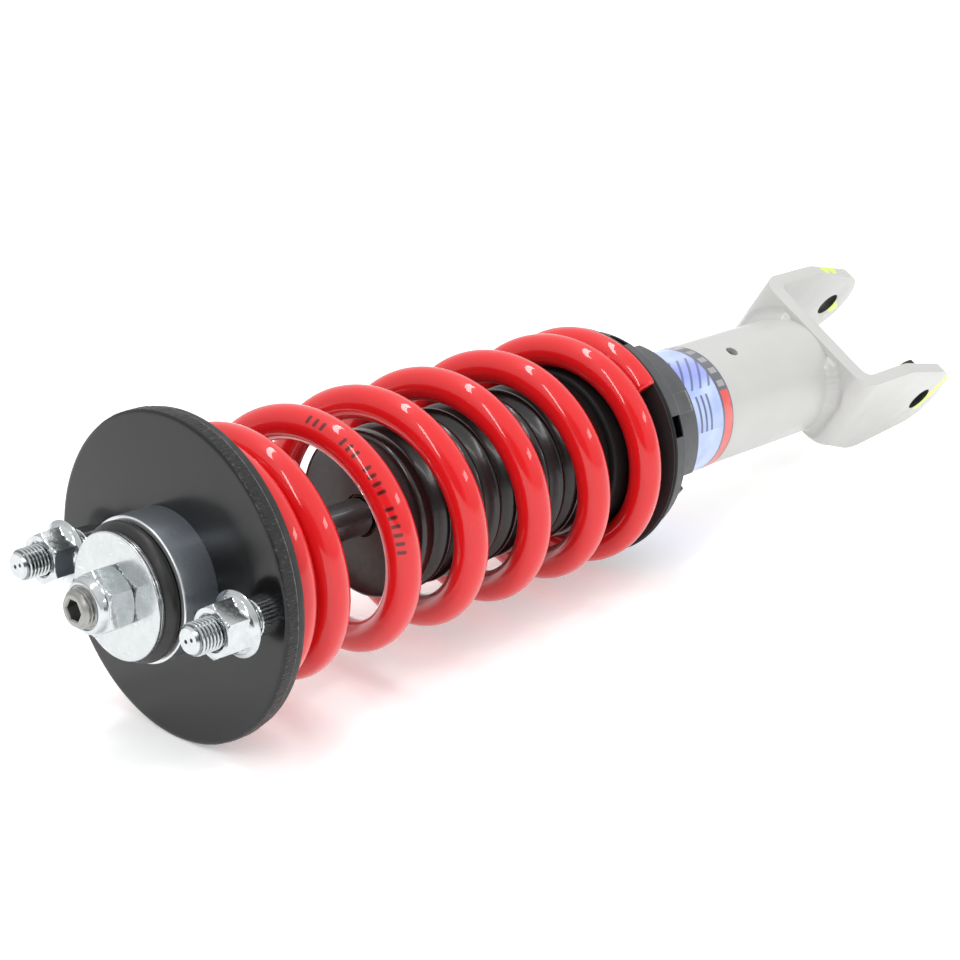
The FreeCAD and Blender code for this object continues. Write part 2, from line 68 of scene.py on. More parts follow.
COIL_PITCH = 30.42
COIL_CLOSED_PITCH = 11.40
COIL_REFERENCE_X = 59.41
COIL_REFERENCE_ANGLE = radians(152.9)
COIL_FIRST_TURN = -2.46
COIL_LAST_TURN = 4.956
COIL_OPENS_AT = -1.03
COIL_CLOSES_AT = 3.94
COIL_EASE = 0.10
COIL_R = 36.64
WIRE_R = 5.62
DASH_OFFSET = 5.6
DASH_TURNS = [-0.15 + 0.011 * i for i in range(20) if i not in (3, 4, 8, 13)]

THREAD_BORE = 24.06
COLLAR_R = 38.6
COLLAR_LIP_END = 196.5
COLLAR_END = 201.4
COLLAR_SLOT_AT = radians(161.2)
COLLAR_SLOT_HALF = 3.85
COLLAR_SLOT_DEPTH = 4.6
TAB_AT = radians(149.8)
LOCK_RING_R = 31.6
LOCK_SLOT_AT = radians(207.5)
LOCK_SLOT_HALF = 4.15
LOCK_SLOT_DEPTH = 4.2

DRAIN_X = 266.0
DRAIN_AT = radians(114.5)
DRAIN_R = 2.4
BODY_GREY = (0.53, 0.53, 0.515)

FORK_TILT = radians(33.2)
PIN_X = 379.0
PIN_HOLE = 5.25
FORK_OUTER = 31.4
FORK_INNER = 26.2
FORK_PLATE = 7.3
EAR_TIP = 15.6
EAR_TOP = 24.0
WEB_BOTTOM = -11.0

SKY_HORIZON = 0.76
SKY_TOP = 1.08


# ---------------------------------------------------------------- mesh tools

def span(node):
    """A node's first and last place along X and its largest radius, in mm."""
    low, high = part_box(node)
    return low.x / MM, high.x / MM, max(high.y, high.z, -low.y, -low.z) / MM


def new_object(name, points, faces):
    mesh = bpy.data.meshes.new(name)
    mesh.from_pydata([Vector(p) * MM for p in points], [], faces)
    made = bpy.data.objects.new(name, mesh)
    bpy.context.scene.collection.objects.link(made)
    return made


def add_piece(name, node, points, faces, finish=None, sharp=38, extra=(), rides=True):
    """Makes a mesh object that stands for a CAD node: same body, same material slot."""
    piece = new_object(name, points, faces)
    mesh = piece.data
    work = bmesh.new()
    work.from_mesh(mesh)
    bmesh.ops.remove_doubles(work, verts=work.verts, dist=2e-6)
    bmesh.ops.dissolve_degenerate(work, edges=work.edges, dist=1e-7)
    bmesh.ops.recalc_face_normals(work, faces=work.faces)
    work.to_mesh(mesh)
    work.free()
    for used in (finish or FINISH[NODE_SLOT[node]], *extra):
        mesh.materials.append(used)
    polish(mesh, sharp)
    if rides:
        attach(piece, NODE_BODY[node])
    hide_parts(node)
    return piece


def polish(mesh, sharp):
    """Smooth shading, broken where faces meet at more than the given angle."""
    mesh.shade_smooth()
    mesh.set_sharp_from_angle(angle=radians(sharp))


def rounded(outline, steps=3):
    """Rounds the corners of a closed outline. A point is (x, radius) or (x, radius, rounding)."""
    result = []
    for i, point in enumerate(outline):
        corner = Vector(point[:2])
        if len(point) == 2:
            result.append(tuple(corner))
            continue
        before = (Vector(outline[i - 1][:2]) - corner).normalized() * point[2]
        after = (Vector(outline[(i + 1) % len(outline)][:2]) - corner).normalized() * point[2]
        for s in range(steps + 1):
            t = s / steps
            result.append(tuple(corner + before * (1 - t) ** 2 + after * t * t))
    return result


def turned_points(outline_at, angles):
    """Points and faces of a ring whose section is outline_at(angle), a closed list of (x, radius)."""
    points = []
    faces = []
    for a in angles:
        outline = outline_at(a)
        points += [(x, r * cos(a), r * sin(a)) for x, r in outline]
    size = len(outline)
    for i in range(len(angles)):
        j = (i + 1) % len(angles)
        for p in range(size):
            q = (p + 1) % size
            faces.append((i * size + p, i * size + q, j * size + q, j * size + p))
    return points, faces


def turn_piece(name, node, outline, steps, finish=None, breaks=(), **options):
    """A piece turned about the axis. The outline is a list of (x, radius), or a function of the angle."""
    outline_at = outline if callable(outline) else lambda a: outline
    points, faces = turned_points(outline_at, around(steps, breaks))
    return add_piece(name, node, points, faces, finish, **options)


def lofted(sections):
    """Points and faces of a solid skinned over sections of equal size, with a flat cap at each end."""
    size = len(sections[0])
    points = [p for section in sections for p in section]
    faces = []
    for first in range(0, len(points) - size, size):
        for p in range(size):
            q = (p + 1) % size
            faces.append((first + p, first + q, first + size + q, first + size + p))
    faces.append(tuple(range(size)))
    faces.append(tuple(reversed(range(len(points) - size, len(points)))))
    return points, faces


def around(steps, breaks=()):
    """Even angles round a circle, with a close pair at each break so that a wall there stays steep."""
    angles = [2 * pi * i / steps for i in range(steps)]
    for b in breaks:
        b %= 2 * pi
        angles = [a for a in angles if abs(a - b) > 0.002]
        angles += [b - 0.0008, b + 0.0008]
    return sorted(a % (2 * pi) for a in angles)


def joined(*parts):
    """Several (points, faces) lists as one."""
    points = []
    faces = []
    for more_points, more_faces in parts:
        start = len(points)
        points += more_points
        faces += [tuple(start + v for v in face) for face in more_faces]
    return points, faces


def hex_radius(angle, flats):
    """How far a hexagon's edge is from its centre, with two corners at the top and bottom."""
    turn = (angle - pi / 2) % (pi / 3)
    return flats / 2 / cos(turn - pi / 6)


def thread_radius(x, angle, pitch, crest, depth):
    """A right-handed vee thread with a narrow flat at its crest and a wider one at its root."""
    phase = (x / pitch - angle / (2 * pi)) % 1
    away = abs(phase - 0.5) * 2
    return crest - depth * min(1, max(0, (away - 0.16) / 0.6))


def thread_rows(x0, x1, pitch):
    count = int(ceil((x1 - x0) / pitch * THREAD_STEPS))
    return [x0 + (x1 - x0) * i / count for i in range(count + 1)]


def ragged(x, y, z, size):
    """Noise between -1 and 1 that varies over the given size in mm."""
    return noise.noise(Vector((x, y, z)) / size)


def coil_x(turn):
    """Where the wire's centre is along X, in turns from the reference crossing."""
    def eased(u):
        if abs(u) < COIL_EASE:
            return (u + COIL_EASE) ** 2 / (4 * COIL_EASE)
        return max(0, u)
    slack = COIL_PITCH - COIL_CLOSED_PITCH
    uniform = COIL_REFERENCE_X + COIL_PITCH * turn
    return uniform + slack * eased(COIL_OPENS_AT - turn) - slack * eased(turn - COIL_CLOSES_AT)


def wire_face(turn, lean):
    """A place on the side of the wire that faces the plate's end, where the row of dashes runs."""
    angle = COIL_REFERENCE_ANGLE + 2 * pi * turn
    tilt = radians(135) + lean
    reach = COIL_R + DASH_OFFSET * sin(tilt)
    return (coil_x(turn) + DASH_OFFSET * cos(tilt), reach * cos(angle), reach * sin(angle))


# ---------------------------------------------------------------- materials

class Finish:
    """A material in the making. Each call lays one more layer over what the shader already shows."""

    def __init__(self, name, colour, metallic=0.0, roughness=0.5, **others):
        self.material = bpy.data.materials.new(name)
        self.material.use_nodes = True
        self.tree = self.material.node_tree
        self.shader = self.tree.nodes["Principled BSDF"]
        self.colour = (*colour, 1)
        self.roughness = roughness
        self.normal = None
        self.shader.inputs["Base Color"].default_value = self.colour
        self.shader.inputs["Metallic"].default_value = metallic
        self.shader.inputs["Roughness"].default_value = roughness
        for socket, value in others.items():
            self.shader.inputs[socket.replace("_", " ")].default_value = value
        self.object_place = self.node("ShaderNodeTexCoord").outputs["Object"]
        self.cached = None

    def node(self, kind, inputs=(), **settings):
        made = self.tree.nodes.new(kind)
        for key, value in settings.items():
            setattr(made, key, value)
        for key, value in dict(inputs).items():
            if isinstance(value, bpy.types.NodeSocket):
                self.tree.links.new(value, made.inputs[key])
            else:
                made.inputs[key].default_value = value
        return made

    def math(self, operation, a, b=0.0, c=0.0):
        return self.node("ShaderNodeMath", {0: a, 1: b, 2: c}, operation=operation).outputs[0]

    def vector(self, operation, a, b=(0, 0, 0)):
        return self.node("ShaderNodeVectorMath", {0: a, 1: b}, operation=operation)

    def polar(self):
        """Sockets with the place along X in mm, the angle in radians and the radius in mm."""
        if self.cached is None:
            parts = self.node("ShaderNodeSeparateXYZ", {0: self.object_place})
            x = self.math("DIVIDE", parts.outputs[0], MM)
            y = self.math("DIVIDE", parts.outputs[1], MM)
            z = self.math("DIVIDE", parts.outputs[2], MM)
            squares = self.math("ADD", self.math("MULTIPLY", y, y), self.math("MULTIPLY", z, z))
            self.cached = (x, self.math("ARCTAN2", z, y), self.math("SQRT", squares))
        return self.cached

    def wrapped(self, x_size, radius_size, arc_size, at_radius):
        """A vector for noise that is stretched along X, outwards and round the axis, in mm."""
        x, angle, radius = self.polar()
        around_x = self.math("MULTIPLY", self.math("COSINE", angle), at_radius / arc_size)
        around_y = self.math("MULTIPLY", self.math("SINE", angle), at_radius / arc_size)
        deep = self.math("ADD", around_y, self.math("DIVIDE", radius, radius_size))
        along = self.math("DIVIDE", x, x_size)
        return self.node("ShaderNodeCombineXYZ", {0: along, 1: around_x, 2: deep}).outputs[0]

    def speckle(self, size, low=0.4, high=0.6, detail=3.0, rough=0.55, stretch=(1, 1, 1), vector=None):
        """Noise of the given grain in mm, cut to run from 0 at low to 1 at high."""
        if vector is None:
            scale = [s / (size * MM) for s in stretch]
            vector = self.node("ShaderNodeMapping", {0: self.object_place, 3: scale}).outputs[0]
        grain = self.node("ShaderNodeTexNoise",
                          {"Vector": vector, "Scale": 1.0, "Detail": detail, "Roughness": rough})
        return self.level(grain.outputs[0], low, high)

    def level(self, value, low, high):
        """Runs from 0 where the value is low to 1 where it is high."""
        return self.node("ShaderNodeMapRange", {0: value, 1: low, 2: high}).outputs[0]

    def both(self, a, b):
        return self.math("MULTIPLY", a, b)

    def either(self, a, b):
        return self.math("MAXIMUM", a, b)

    def amount(self, mask, share):
        return self.math("MULTIPLY", mask, share)

    def inside(self, value, low, high, edge):
        """1 between low and high, falling to 0 over the edge's width on both sides."""
        rise = self.level(value, low - edge / 2, low + edge / 2)
        fall = self.level(value, high + edge / 2, high - edge / 2)
        return self.both(rise, fall)

    def away(self, centre):
        """The distance in metres from a place given in mm."""
        return self.vector("DISTANCE", self.object_place, [c * MM for c in centre]).outputs["Value"]

    def blob(self, centre, size, edge, wobble=0.35):
        """A ragged round patch about a place in mm: 1 inside, 0 outside."""
        grain = self.speckle(2.5, 0.2, 0.8)
        uneven = self.math("MULTIPLY_ADD", grain, size * wobble * MM, self.away(centre))
        return self.level(uneven, (size + edge) * MM, size * MM)

    def dot(self, centre, size, edge):
        """A plain round spot about a place in mm."""
        return self.level(self.away(centre), (size + edge) * MM, size * MM)

    def tint(self, mask, colour):
        """Lays a colour over the surface where the mask is 1."""
        mixer = self.node("ShaderNodeMix", data_type="RGBA")
        self.feed(mixer.inputs[0], mask)
        self.feed(mixer.inputs[6], self.colour)
        self.feed(mixer.inputs[7], (*colour, 1))
        self.colour = mixer.outputs[2]
        self.tree.links.new(self.colour, self.shader.inputs["Base Color"])
        return self

    def mottle(self, share, colour, *grain, **detail):
        """Lays a share of a colour in patches of noise, whose grain is given as for speckle."""
        return self.tint(self.amount(self.speckle(*grain, **detail), share), colour)

    def gloss(self, mask, roughness):
        """Changes the roughness where the mask is 1."""
        mixer = self.node("ShaderNodeMix", data_type="FLOAT")
        self.feed(mixer.inputs[0], mask)
        self.feed(mixer.inputs[2], self.roughness)
        self.feed(mixer.inputs[3], roughness)
        self.roughness = mixer.outputs[0]
        self.tree.links.new(self.roughness, self.shader.inputs["Roughness"])
        return self

    def feed(self, socket, value):
        if isinstance(value, bpy.types.NodeSocket):
            self.tree.links.new(value, socket)
        else:
            socket.default_value = value

    def relief(self, height, depth, strength=1.0):
        """Raises the surface by the height, as a bump of the given depth in mm."""
        bump = self.node("ShaderNodeBump", {"Height": height, "Strength": strength, "Distance": depth * MM})
        if self.normal is not None:
            self.tree.links.new(self.normal, bump.inputs["Normal"])
        self.normal = bump.outputs[0]
        self.tree.links.new(self.normal, self.shader.inputs["Normal"])
        return self


def plate_black():
    """Smooth black paint with a faint peel, cloudy patches and a few dust specks."""
    f = Finish("plate_black", (0.005, 0.005, 0.0055), roughness=0.2, Coat_Weight=0.1, Coat_Roughness=0.12,
               Specular_IOR_Level=0.36)
    f.mottle(0.5, (0.010, 0.0102, 0.011), 24, 0.35, 0.75)
    f.mottle(0.3, (0.09, 0.09, 0.09), 0.35, 0.74, 0.8, detail=1)
    f.gloss(f.speckle(9, 0.35, 0.7), 0.27)
    f.relief(f.speckle(1.1, 0.3, 0.7, detail=2), 0.003)
    f.relief(f.speckle(14, 0.2, 0.8), 0.03)
    return f.material


def sheared_edge():
    """The punched rim of the plate: paint over tear lines, worn through along its back corner."""
    f = Finish("sheared_edge", (0.008, 0.008, 0.009), roughness=0.42, Specular_IOR_Level=0.3)
    torn = f.speckle(1, 0.3, 0.7, detail=4, vector=f.wrapped(4.0, 2.0, 0.5, 51))
    f.tint(f.amount(torn, 0.6), (0.022, 0.022, 0.023))
    flecks = f.speckle(1, 0.6, 0.72, vector=f.wrapped(1.4, 1.0, 0.8, 51))
    f.tint(f.amount(flecks, 0.5), (0.12, 0.12, 0.12))
    back = f.level(f.polar()[0], 4.3, 4.75)
    f.tint(f.both(back, f.speckle(2.0, 0.25, 0.6)), (0.2, 0.2, 0.2))
    f.gloss(torn, 0.3)
    f.relief(torn, 0.2)
    return f.material


def moulded_rubber(name, shade, grain, shine):
    """Black rubber with a mould grain, a little bloom and dull patches."""
    f = Finish(name, (shade, shade, shade * 1.04), roughness=shine)
    f.mottle(0.5, (shade * 2.2, shade * 2.2, shade * 2.2), 7, 0.45, 0.75)
    f.gloss(f.speckle(4, 0.35, 0.7), min(1, shine + 0.16))
    f.relief(f.speckle(grain, 0.3, 0.7), 0.02)
    return f.material


def zinc_plate():
    """Bright zinc plating, faintly cloudy, with a few handling marks."""
    colour = (0.56, 0.59, 0.6)
    f = Finish("zinc_plate", colour, metallic=1.0, roughness=0.14)
    f.mottle(0.5, [c * 0.72 for c in colour], 3.5, 0.4, 0.7)
    f.mottle(0.35, [c * 0.55 for c in colour], 0.5, 0.66, 0.76, detail=2)
    f.gloss(f.speckle(1.6, 0.4, 0.7), 0.22)
    f.relief(f.speckle(0.5, 0.3, 0.7), 0.0015)
    f.relief(f.speckle(3.5, 0.3, 0.7), 0.008)
    return f.material


def stud_steel():
    """Zinc on the studs, with two dark dots on each tip and painted shade in the thread's hollows."""
    f = Finish("stud_steel", (0.56, 0.59, 0.6), metallic=1.0, roughness=0.16)
    away = f.vector("LENGTH", f.object_place)
    f.mottle(0.4, (0.42, 0.43, 0.44), 1.5, 0.45, 0.7)
    f.gloss(f.level(away.outputs["Value"], 0.03, 0.05), 0.24)
    for side in stud_sides():
        beside = f.vector("CROSS_PRODUCT", f.object_place, (1, 0, 0)).outputs[0]
        off_axis = f.vector("DISTANCE", beside, (0, 0, -side * MM)).outputs["Value"]
        threaded = f.both(f.level(off_axis, 4.75 * MM, 4.45 * MM), f.level(f.polar()[0], -25.2, -25.0))
        # Painted shade: the thread's hollows on each stud are darkened.
        root_painted_shade = f.both(threaded, f.level(off_axis, 4.0 * MM, 4.2 * MM))
        f.tint(f.amount(root_painted_shade, 0.75), (0.08, 0.085, 0.09))
        for dy, dz in ((-1.3, 0.6), (1.1, -0.5)):
            dot = f.blob((span("mount_studs")[0], side + dy, dz), 0.55, 0.25, 0.1)
            f.tint(dot, (0.02, 0.02, 0.02))
    f.relief(f.speckle(0.4, 0.3, 0.7), 0.003)
    return f.material


def turned_zinc():
    """The dark bush sleeve, with fine turning marks round it and a grainy film."""
    f = Finish("turned_zinc", (0.3, 0.33, 0.37), metallic=0.8, roughness=0.3)
    rings = f.speckle(1, 0.3, 0.7, vector=f.wrapped(0.3, 0.3, 30, 22))
    f.tint(f.amount(rings, 0.3), (0.18, 0.2, 0.23))
    f.mottle(0.5, (0.5, 0.53, 0.56), 0.3, 0.5, 0.7, detail=2)
    f.tint(f.level(f.polar()[0], -11.9, -12.3), (0.7, 0.72, 0.73))
    f.gloss(f.speckle(3, 0.35, 0.7), 0.28)
    f.relief(rings, 0.003)
    return f.material


def stamped_washer():
    """Zinc plated washers, with flat press marks and small scratches."""
    f = Finish("stamped_washer", (0.56, 0.585, 0.59), metallic=1.0, roughness=0.18)
    f.mottle(0.4, (0.44, 0.46, 0.465), 5, 0.35, 0.7)
    scratch = f.speckle(0.8, 0.68, 0.74, detail=1, stretch=(1, 0.12, 1))
    f.tint(f.amount(scratch, 0.4), (0.85, 0.85, 0.85))
    f.gloss(f.speckle(2, 0.35, 0.7), 0.3)
    f.relief(f.speckle(0.7, 0.3, 0.7), 0.002)
    return f.material


def bare_steel(name="bare_steel", shade=0.32, roughness=0.34):
    """Plain machined steel with oil stain and lathe marks round the axis."""
    f = Finish(name, (shade, shade, shade * 0.97), metallic=1.0, roughness=roughness)
    rings = f.speckle(1, 0.3, 0.7, vector=f.wrapped(0.25, 0.3, 40, 12))
    f.tint(f.amount(rings, 0.4), (shade * 0.6, shade * 0.58, shade * 0.54))
    f.gloss(f.speckle(4, 0.35, 0.7), roughness + 0.15)
    f.relief(rings, 0.006)
    return f.material


def hard_chrome():
    """The ground and polished piston rod."""
    f = Finish("hard_chrome", (0.78, 0.8, 0.83), metallic=1.0, roughness=0.07)
    hone = f.speckle(1, 0.35, 0.7, vector=f.wrapped(0.12, 1.0, 20, 6))
    f.tint(f.amount(hone, 0.12), (0.6, 0.61, 0.64))
    f.gloss(f.speckle(5, 0.4, 0.7), 0.11)
    f.relief(hone, 0.0008)
    return f.material


def spring_red():
    """Thick glossy red powder coat with orange peel, faint dust and a row of plain dark dashes."""
    f = Finish("spring_red", (0.68, 0.008, 0.011), roughness=0.3, Coat_Weight=0.9, Coat_Roughness=0.04,
               Specular_IOR_Level=0.15)
    f.mottle(0.4, (0.64, 0.007, 0.01), 16, 0.35, 0.75)
    f.mottle(0.5, (0.25, 0.006, 0.006), 0.4, 0.74, 0.8, detail=1)
    for turn in DASH_TURNS:
        for lean in (-0.16, 0.0, 0.16):
            f.tint(f.amount(f.dot(wire_face(turn, lean), 0.5, 0.3), 0.85), (0.03, 0.002, 0.002))
    f.gloss(f.speckle(8, 0.35, 0.7), 0.38)
    f.relief(f.speckle(1.7, 0.25, 0.75, detail=2), 0.012)
    f.relief(f.speckle(11, 0.2, 0.8), 0.05)
    return f.material


def boot_plastic():
    """Blow moulded black plastic, glossy on the ridges and dusty between them."""
    f = Finish("boot_plastic", (0.008, 0.008, 0.0085), roughness=0.24, Coat_Weight=0.25, Coat_Roughness=0.15)
    radius = f.polar()[2]
    f.tint(f.both(f.level(radius, 27.0, 24.5), f.speckle(3, 0.35, 0.75)), (0.02, 0.02, 0.02))
    f.gloss(f.level(radius, 27.2, 25.0), 0.42)
    f.relief(f.speckle(2.6, 0.3, 0.7), 0.03)
    f.relief(f.speckle(0.4, 0.3, 0.7), 0.004)
    return f.material


def collar_finish():
    """Dark grey anodised aluminium: a painted highlight along the tab's end, lighter worn patches on the
    collar's back corner, and painted shade in the slots, below the tab and on the lock ring's front.
    """
    f = Finish("collar_finish", (0.075, 0.078, 0.083), metallic=0.3, roughness=0.42)
    f.mottle(0.5, (0.105, 0.108, 0.114), 5, 0.35, 0.75)
    f.mottle(0.4, (0.16, 0.16, 0.165), 0.25, 0.62, 0.72, detail=2)
    x, _, radius = f.polar()
    tab_end = span("adjuster_collar")[1]

    def under(depth, fade):
        return f.level(radius, COLLAR_R - depth, COLLAR_R - depth - fade)

    # Painted shade: the slots' floors and walls are made near black.
    slots = f.both(f.inside(x, COLLAR_LIP_END - 0.1, COLLAR_END + 0.2, 0.05), under(0.4, 0.3))
    f.tint(slots, (0.004, 0.004, 0.004))
    # Painted shadow: the tab's underside and the front of the lock ring beside the collar are darkened.
    f.tint(f.both(f.inside(x, COLLAR_END + 0.1, tab_end + 0.5, 0.2), under(0.3, 0.2)), (0.008, 0.008, 0.008))
    # A painted highlight along the tab's outer end, and real wear in patches on the collar's back corner.
    tab_end_highlight = f.both(f.inside(x, tab_end - 1.0, tab_end - 0.1, 0.2), under(0.6, -0.3))
    corner = f.both(f.inside(x, COLLAR_END - 0.4, COLLAR_END - 0.1, 0.15), under(0.3, -0.2))
    edges = f.both(f.either(tab_end_highlight, f.amount(corner, 0.5)), f.speckle(1.5, 0.2, 0.5))
    f.tint(edges, (0.24, 0.24, 0.235))
    f.gloss(f.speckle(2, 0.35, 0.7), 0.52)
    f.relief(f.speckle(0.3, 0.3, 0.7), 0.006)
    return f.material


def seat_finish():
    """Black satin paint on the spring seat."""
    f = Finish("seat_finish", (0.006, 0.0062, 0.0068), roughness=0.55, Specular_IOR_Level=0.25)
    f.mottle(0.5, (0.013, 0.013, 0.013), 5, 0.4, 0.75)
    f.gloss(f.speckle(3, 0.35, 0.7), 0.6)
    f.relief(f.speckle(0.6, 0.3, 0.7), 0.012)
    return f.material


def hard_plastic(name, colour, roughness=0.5):
    """Plain moulded plastic with a fine grain."""
    f = Finish(name, colour, roughness=roughness)
    f.mottle(0.4, [c * 0.7 for c in colour], 3, 0.35, 0.75)
    f.gloss(f.speckle(2, 0.35, 0.7), roughness + 0.12)
    f.relief(f.speckle(0.4, 0.3, 0.7), 0.01)
    return f.material


def pressed_metal(name, colour, metallic, roughness):
    """Sintered or cast metal with pores."""
    f = Finish(name, colour, metallic=metallic, roughness=roughness)
    pores = f.speckle(0.35, 0.6, 0.7, detail=2)
    f.tint(f.amount(pores, 0.7), [c * 0.35 for c in colour])
    f.mottle(0.4, [c * 0.7 for c in colour], 4, 0.35, 0.75)
    f.gloss(f.speckle(1.5, 0.35, 0.7), roughness + 0.15)
    f.relief(pores, 0.02)
    return f.material


def silver_paint(name, colour=BODY_GREY):
    """Pale grey metallic paint, slightly uneven, with a fine flake."""
    f = Finish(name, colour, metallic=0.15, roughness=0.36, Coat_Weight=0.25, Coat_Roughness=0.2)
    f.mottle(0.4, [c * 0.9 for c in colour], 18, 0.3, 0.75)
    f.mottle(0.25, [c * 1.25 for c in colour], 0.16, 0.55, 0.75, detail=1)
    f.mottle(0.4, [c * 0.45 for c in colour], 0.5, 0.73, 0.79, detail=1)
    f.gloss(f.speckle(7, 0.35, 0.7), 0.44)
    f.relief(f.speckle(1.4, 0.25, 0.75, detail=2), 0.008)
    return f


def fork_place(x, u, v):
    """A place on the fork: along the damper, along the cross bolt and square to both."""
    c, s = cos(FORK_TILT), sin(FORK_TILT)
    return (x, u * c - v * s, u * s + v * c)


YELLOW_MARKS = [
    (383.4, -31.4, -5.0, 2.4), (385.0, -31.4, -2.0, 2.7), (387.0, -31.4, 1.0, 2.7), (389.0, -31.4, 4.0, 2.6),
    (390.6, -31.2, 7.0, 2.6), (389.5, -29.5, 10.5, 2.6), (362.0, 31.4, 21.0, 4.2), (369.0, 31.4, 19.2, 4.2),
    (386.5, 31.2, 14.2, 3.2), (390.5, 29.5, 11.0, 2.8), (384.6, 26.2, -2.6, 2.8), (387.2, 26.2, -4.0, 2.2)]


def fork_paint():
    """The tube's paint, yellow marker on both ears (x, u, v and size of each dab), and painted shade inside
    the bolt hole.
    """
    f = silver_paint("fork_paint")
    marks = None
    for x, u, v, size in YELLOW_MARKS:
        patch = f.blob(fork_place(x, u, v), size, 0.8)
        marks = patch if marks is None else f.either(marks, patch)
    streaky = f.both(marks, f.level(f.speckle(1.2, 0.2, 0.62), 0.0, 0.6))
    f.tint(f.amount(streaky, 0.92), (0.72, 0.86, 0.02))
    # Painted shade: the wall of the bolt hole is darkened to near black.
    off_pin = f.vector("SUBTRACT", f.object_place, (PIN_X * MM, 0, 0)).outputs[0]
    off_line = f.vector("CROSS_PRODUCT", off_pin, fork_place(0, 1, 0)).outputs[0]
    from_line = f.vector("LENGTH", off_line).outputs["Value"]
    f.tint(f.level(from_line, (PIN_HOLE + 0.35) * MM, (PIN_HOLE + 0.15) * MM), (0.035, 0.035, 0.03))
    return f.material


def label_film():
    """A printed band: pale blue with plain lines and hatching, then dark blocks and a red stripe."""
    f = Finish("label_film", (0.36, 0.46, 0.86), roughness=0.3, Coat_Weight=0.6, Coat_Roughness=0.1)
    x, angle, _ = f.polar()
    f.mottle(0.6, (0.58, 0.7, 0.95), 10, 0.35, 0.65)
    f.tint(f.amount(f.inside(angle, radians(108), radians(135), radians(14)), 0.7), (0.2, 0.24, 0.75))
    f.tint(f.amount(f.inside(angle, radians(172), radians(200), radians(20)), 0.5), (0.28, 0.36, 0.8))
    turn = f.math("MULTIPLY", angle, 180 / pi)
    ink = (0.03, 0.035, 0.07)
    for line_x in (230.5, 233.5, 236.5):
        away = f.math("ABSOLUTE", f.math("SUBTRACT", x, line_x))
        f.tint(f.amount(f.both(f.level(away, 0.75, 0.45), f.inside(turn, 147, 181, 0.8)), 0.8), ink)
    for a0, a1, lean in ((106, 141, 0.3), (187, 222, -0.3)):
        slanted = f.math("MULTIPLY_ADD", turn, lean, x)
        stripe = f.math("ABSOLUTE", f.math("SUBTRACT", f.math("WRAP", slanted, 5.0), 2.5))
        f.tint(f.amount(f.both(f.level(stripe, 0.85, 0.55), f.inside(turn, a0, a1, 0.8)), 0.7), ink)
    f.tint(f.inside(x, 243.6, 250.2, 0.3), (0.07, 0.075, 0.1))
    blocks = f.level(f.math("SINE", f.math("MULTIPLY", angle, 26.0)), 0.1, 0.3)
    f.tint(f.both(f.inside(x, 245.2, 249.0, 0.2), blocks), (0.3, 0.3, 0.31))
    beyond = f.either(f.level(angle, radians(148), radians(149)), f.level(angle, radians(-20), radians(-21)))
    f.tint(f.both(f.inside(x, 244.8, 249.3, 0.25), beyond), (0.75, 0.04, 0.03))
    f.gloss(f.speckle(5, 0.35, 0.7), 0.38)
    f.relief(f.speckle(9, 0.3, 0.7), 0.02)
    return f.material


def black_oxide():
    """The captive nut, blackened by the weld."""
    f = Finish("black_oxide", (0.035, 0.033, 0.032), metallic=0.7, roughness=0.45)
    f.mottle(0.6, (0.09, 0.075, 0.06), 2, 0.4, 0.7)
    f.gloss(f.speckle(1.5, 0.35, 0.7), 0.6)
    f.relief(f.speckle(0.5, 0.3, 0.7), 0.02)
    return f.material


FINISH = {
    "plate_black": plate_black(),
    "isolator_rubber": moulded_rubber("isolator_rubber", 0.008, 0.5, 0.42),
    "zinc_plate": zinc_plate(),
    "bush_rubber": moulded_rubber("bush_rubber", 0.006, 0.6, 0.36),
    "bare_steel": bare_steel(),
    "nylon": hard_plastic("nylon", (0.55, 0.56, 0.55)),
    "hard_chrome": hard_chrome(),
    "bump_foam": hard_plastic("bump_foam", (0.5, 0.42, 0.2), 0.8),
    "sintered_iron": pressed_metal("sintered_iron", (0.2, 0.2, 0.21), 0.9, 0.4),
    "ptfe_bronze": hard_plastic("ptfe_bronze", (0.16, 0.11, 0.05), 0.4),
    "spring_red": spring_red(),
    "boot_black": boot_plastic(),
    "slip_black": hard_plastic("slip_black", (0.008, 0.008, 0.0085), 0.55),
    "seat_black": seat_finish(),
    "collar_grey": collar_finish(),
    "seal_rubber": moulded_rubber("seal_rubber", 0.01, 0.4, 0.5),
    "aluminium_guide": pressed_metal("aluminium_guide", (0.72, 0.73, 0.74), 1.0, 0.3),
    "bush_bronze": pressed_metal("bush_bronze", (0.6, 0.42, 0.2), 1.0, 0.3),
    # The damper tube shows only through the drain hole; its steel is made darker as painted shade for the
    # hole.
    "tube_steel": bare_steel("tube_steel", 0.1, 0.4),
    "thread_grey": bare_steel("thread_grey", 0.2, 0.36),
    "body_silver": silver_paint("body_silver").material,
    "label_film": label_film(),
    "fork_silver": fork_paint(),
    "weld_silver": silver_paint("weld_silver", (0.5, 0.5, 0.487)).material,
    "dark_nut": black_oxide(),
}

NODE_SLOT = {entry["node"]: entry["material_slot"] for entry in frame["record"]["subparts"]}
BODIES = frame["record"]["behaviour"]["bodies"]
NODE_BODY = {node: body for body, nodes in BODIES.items() for node in nodes}

for node, obj in frame["nodes"].items():
    obj.data.materials.clear()
    obj.data.materials.append(FINISH[NODE_SLOT[node]])


# ---------------------------------------------------------------- top mount

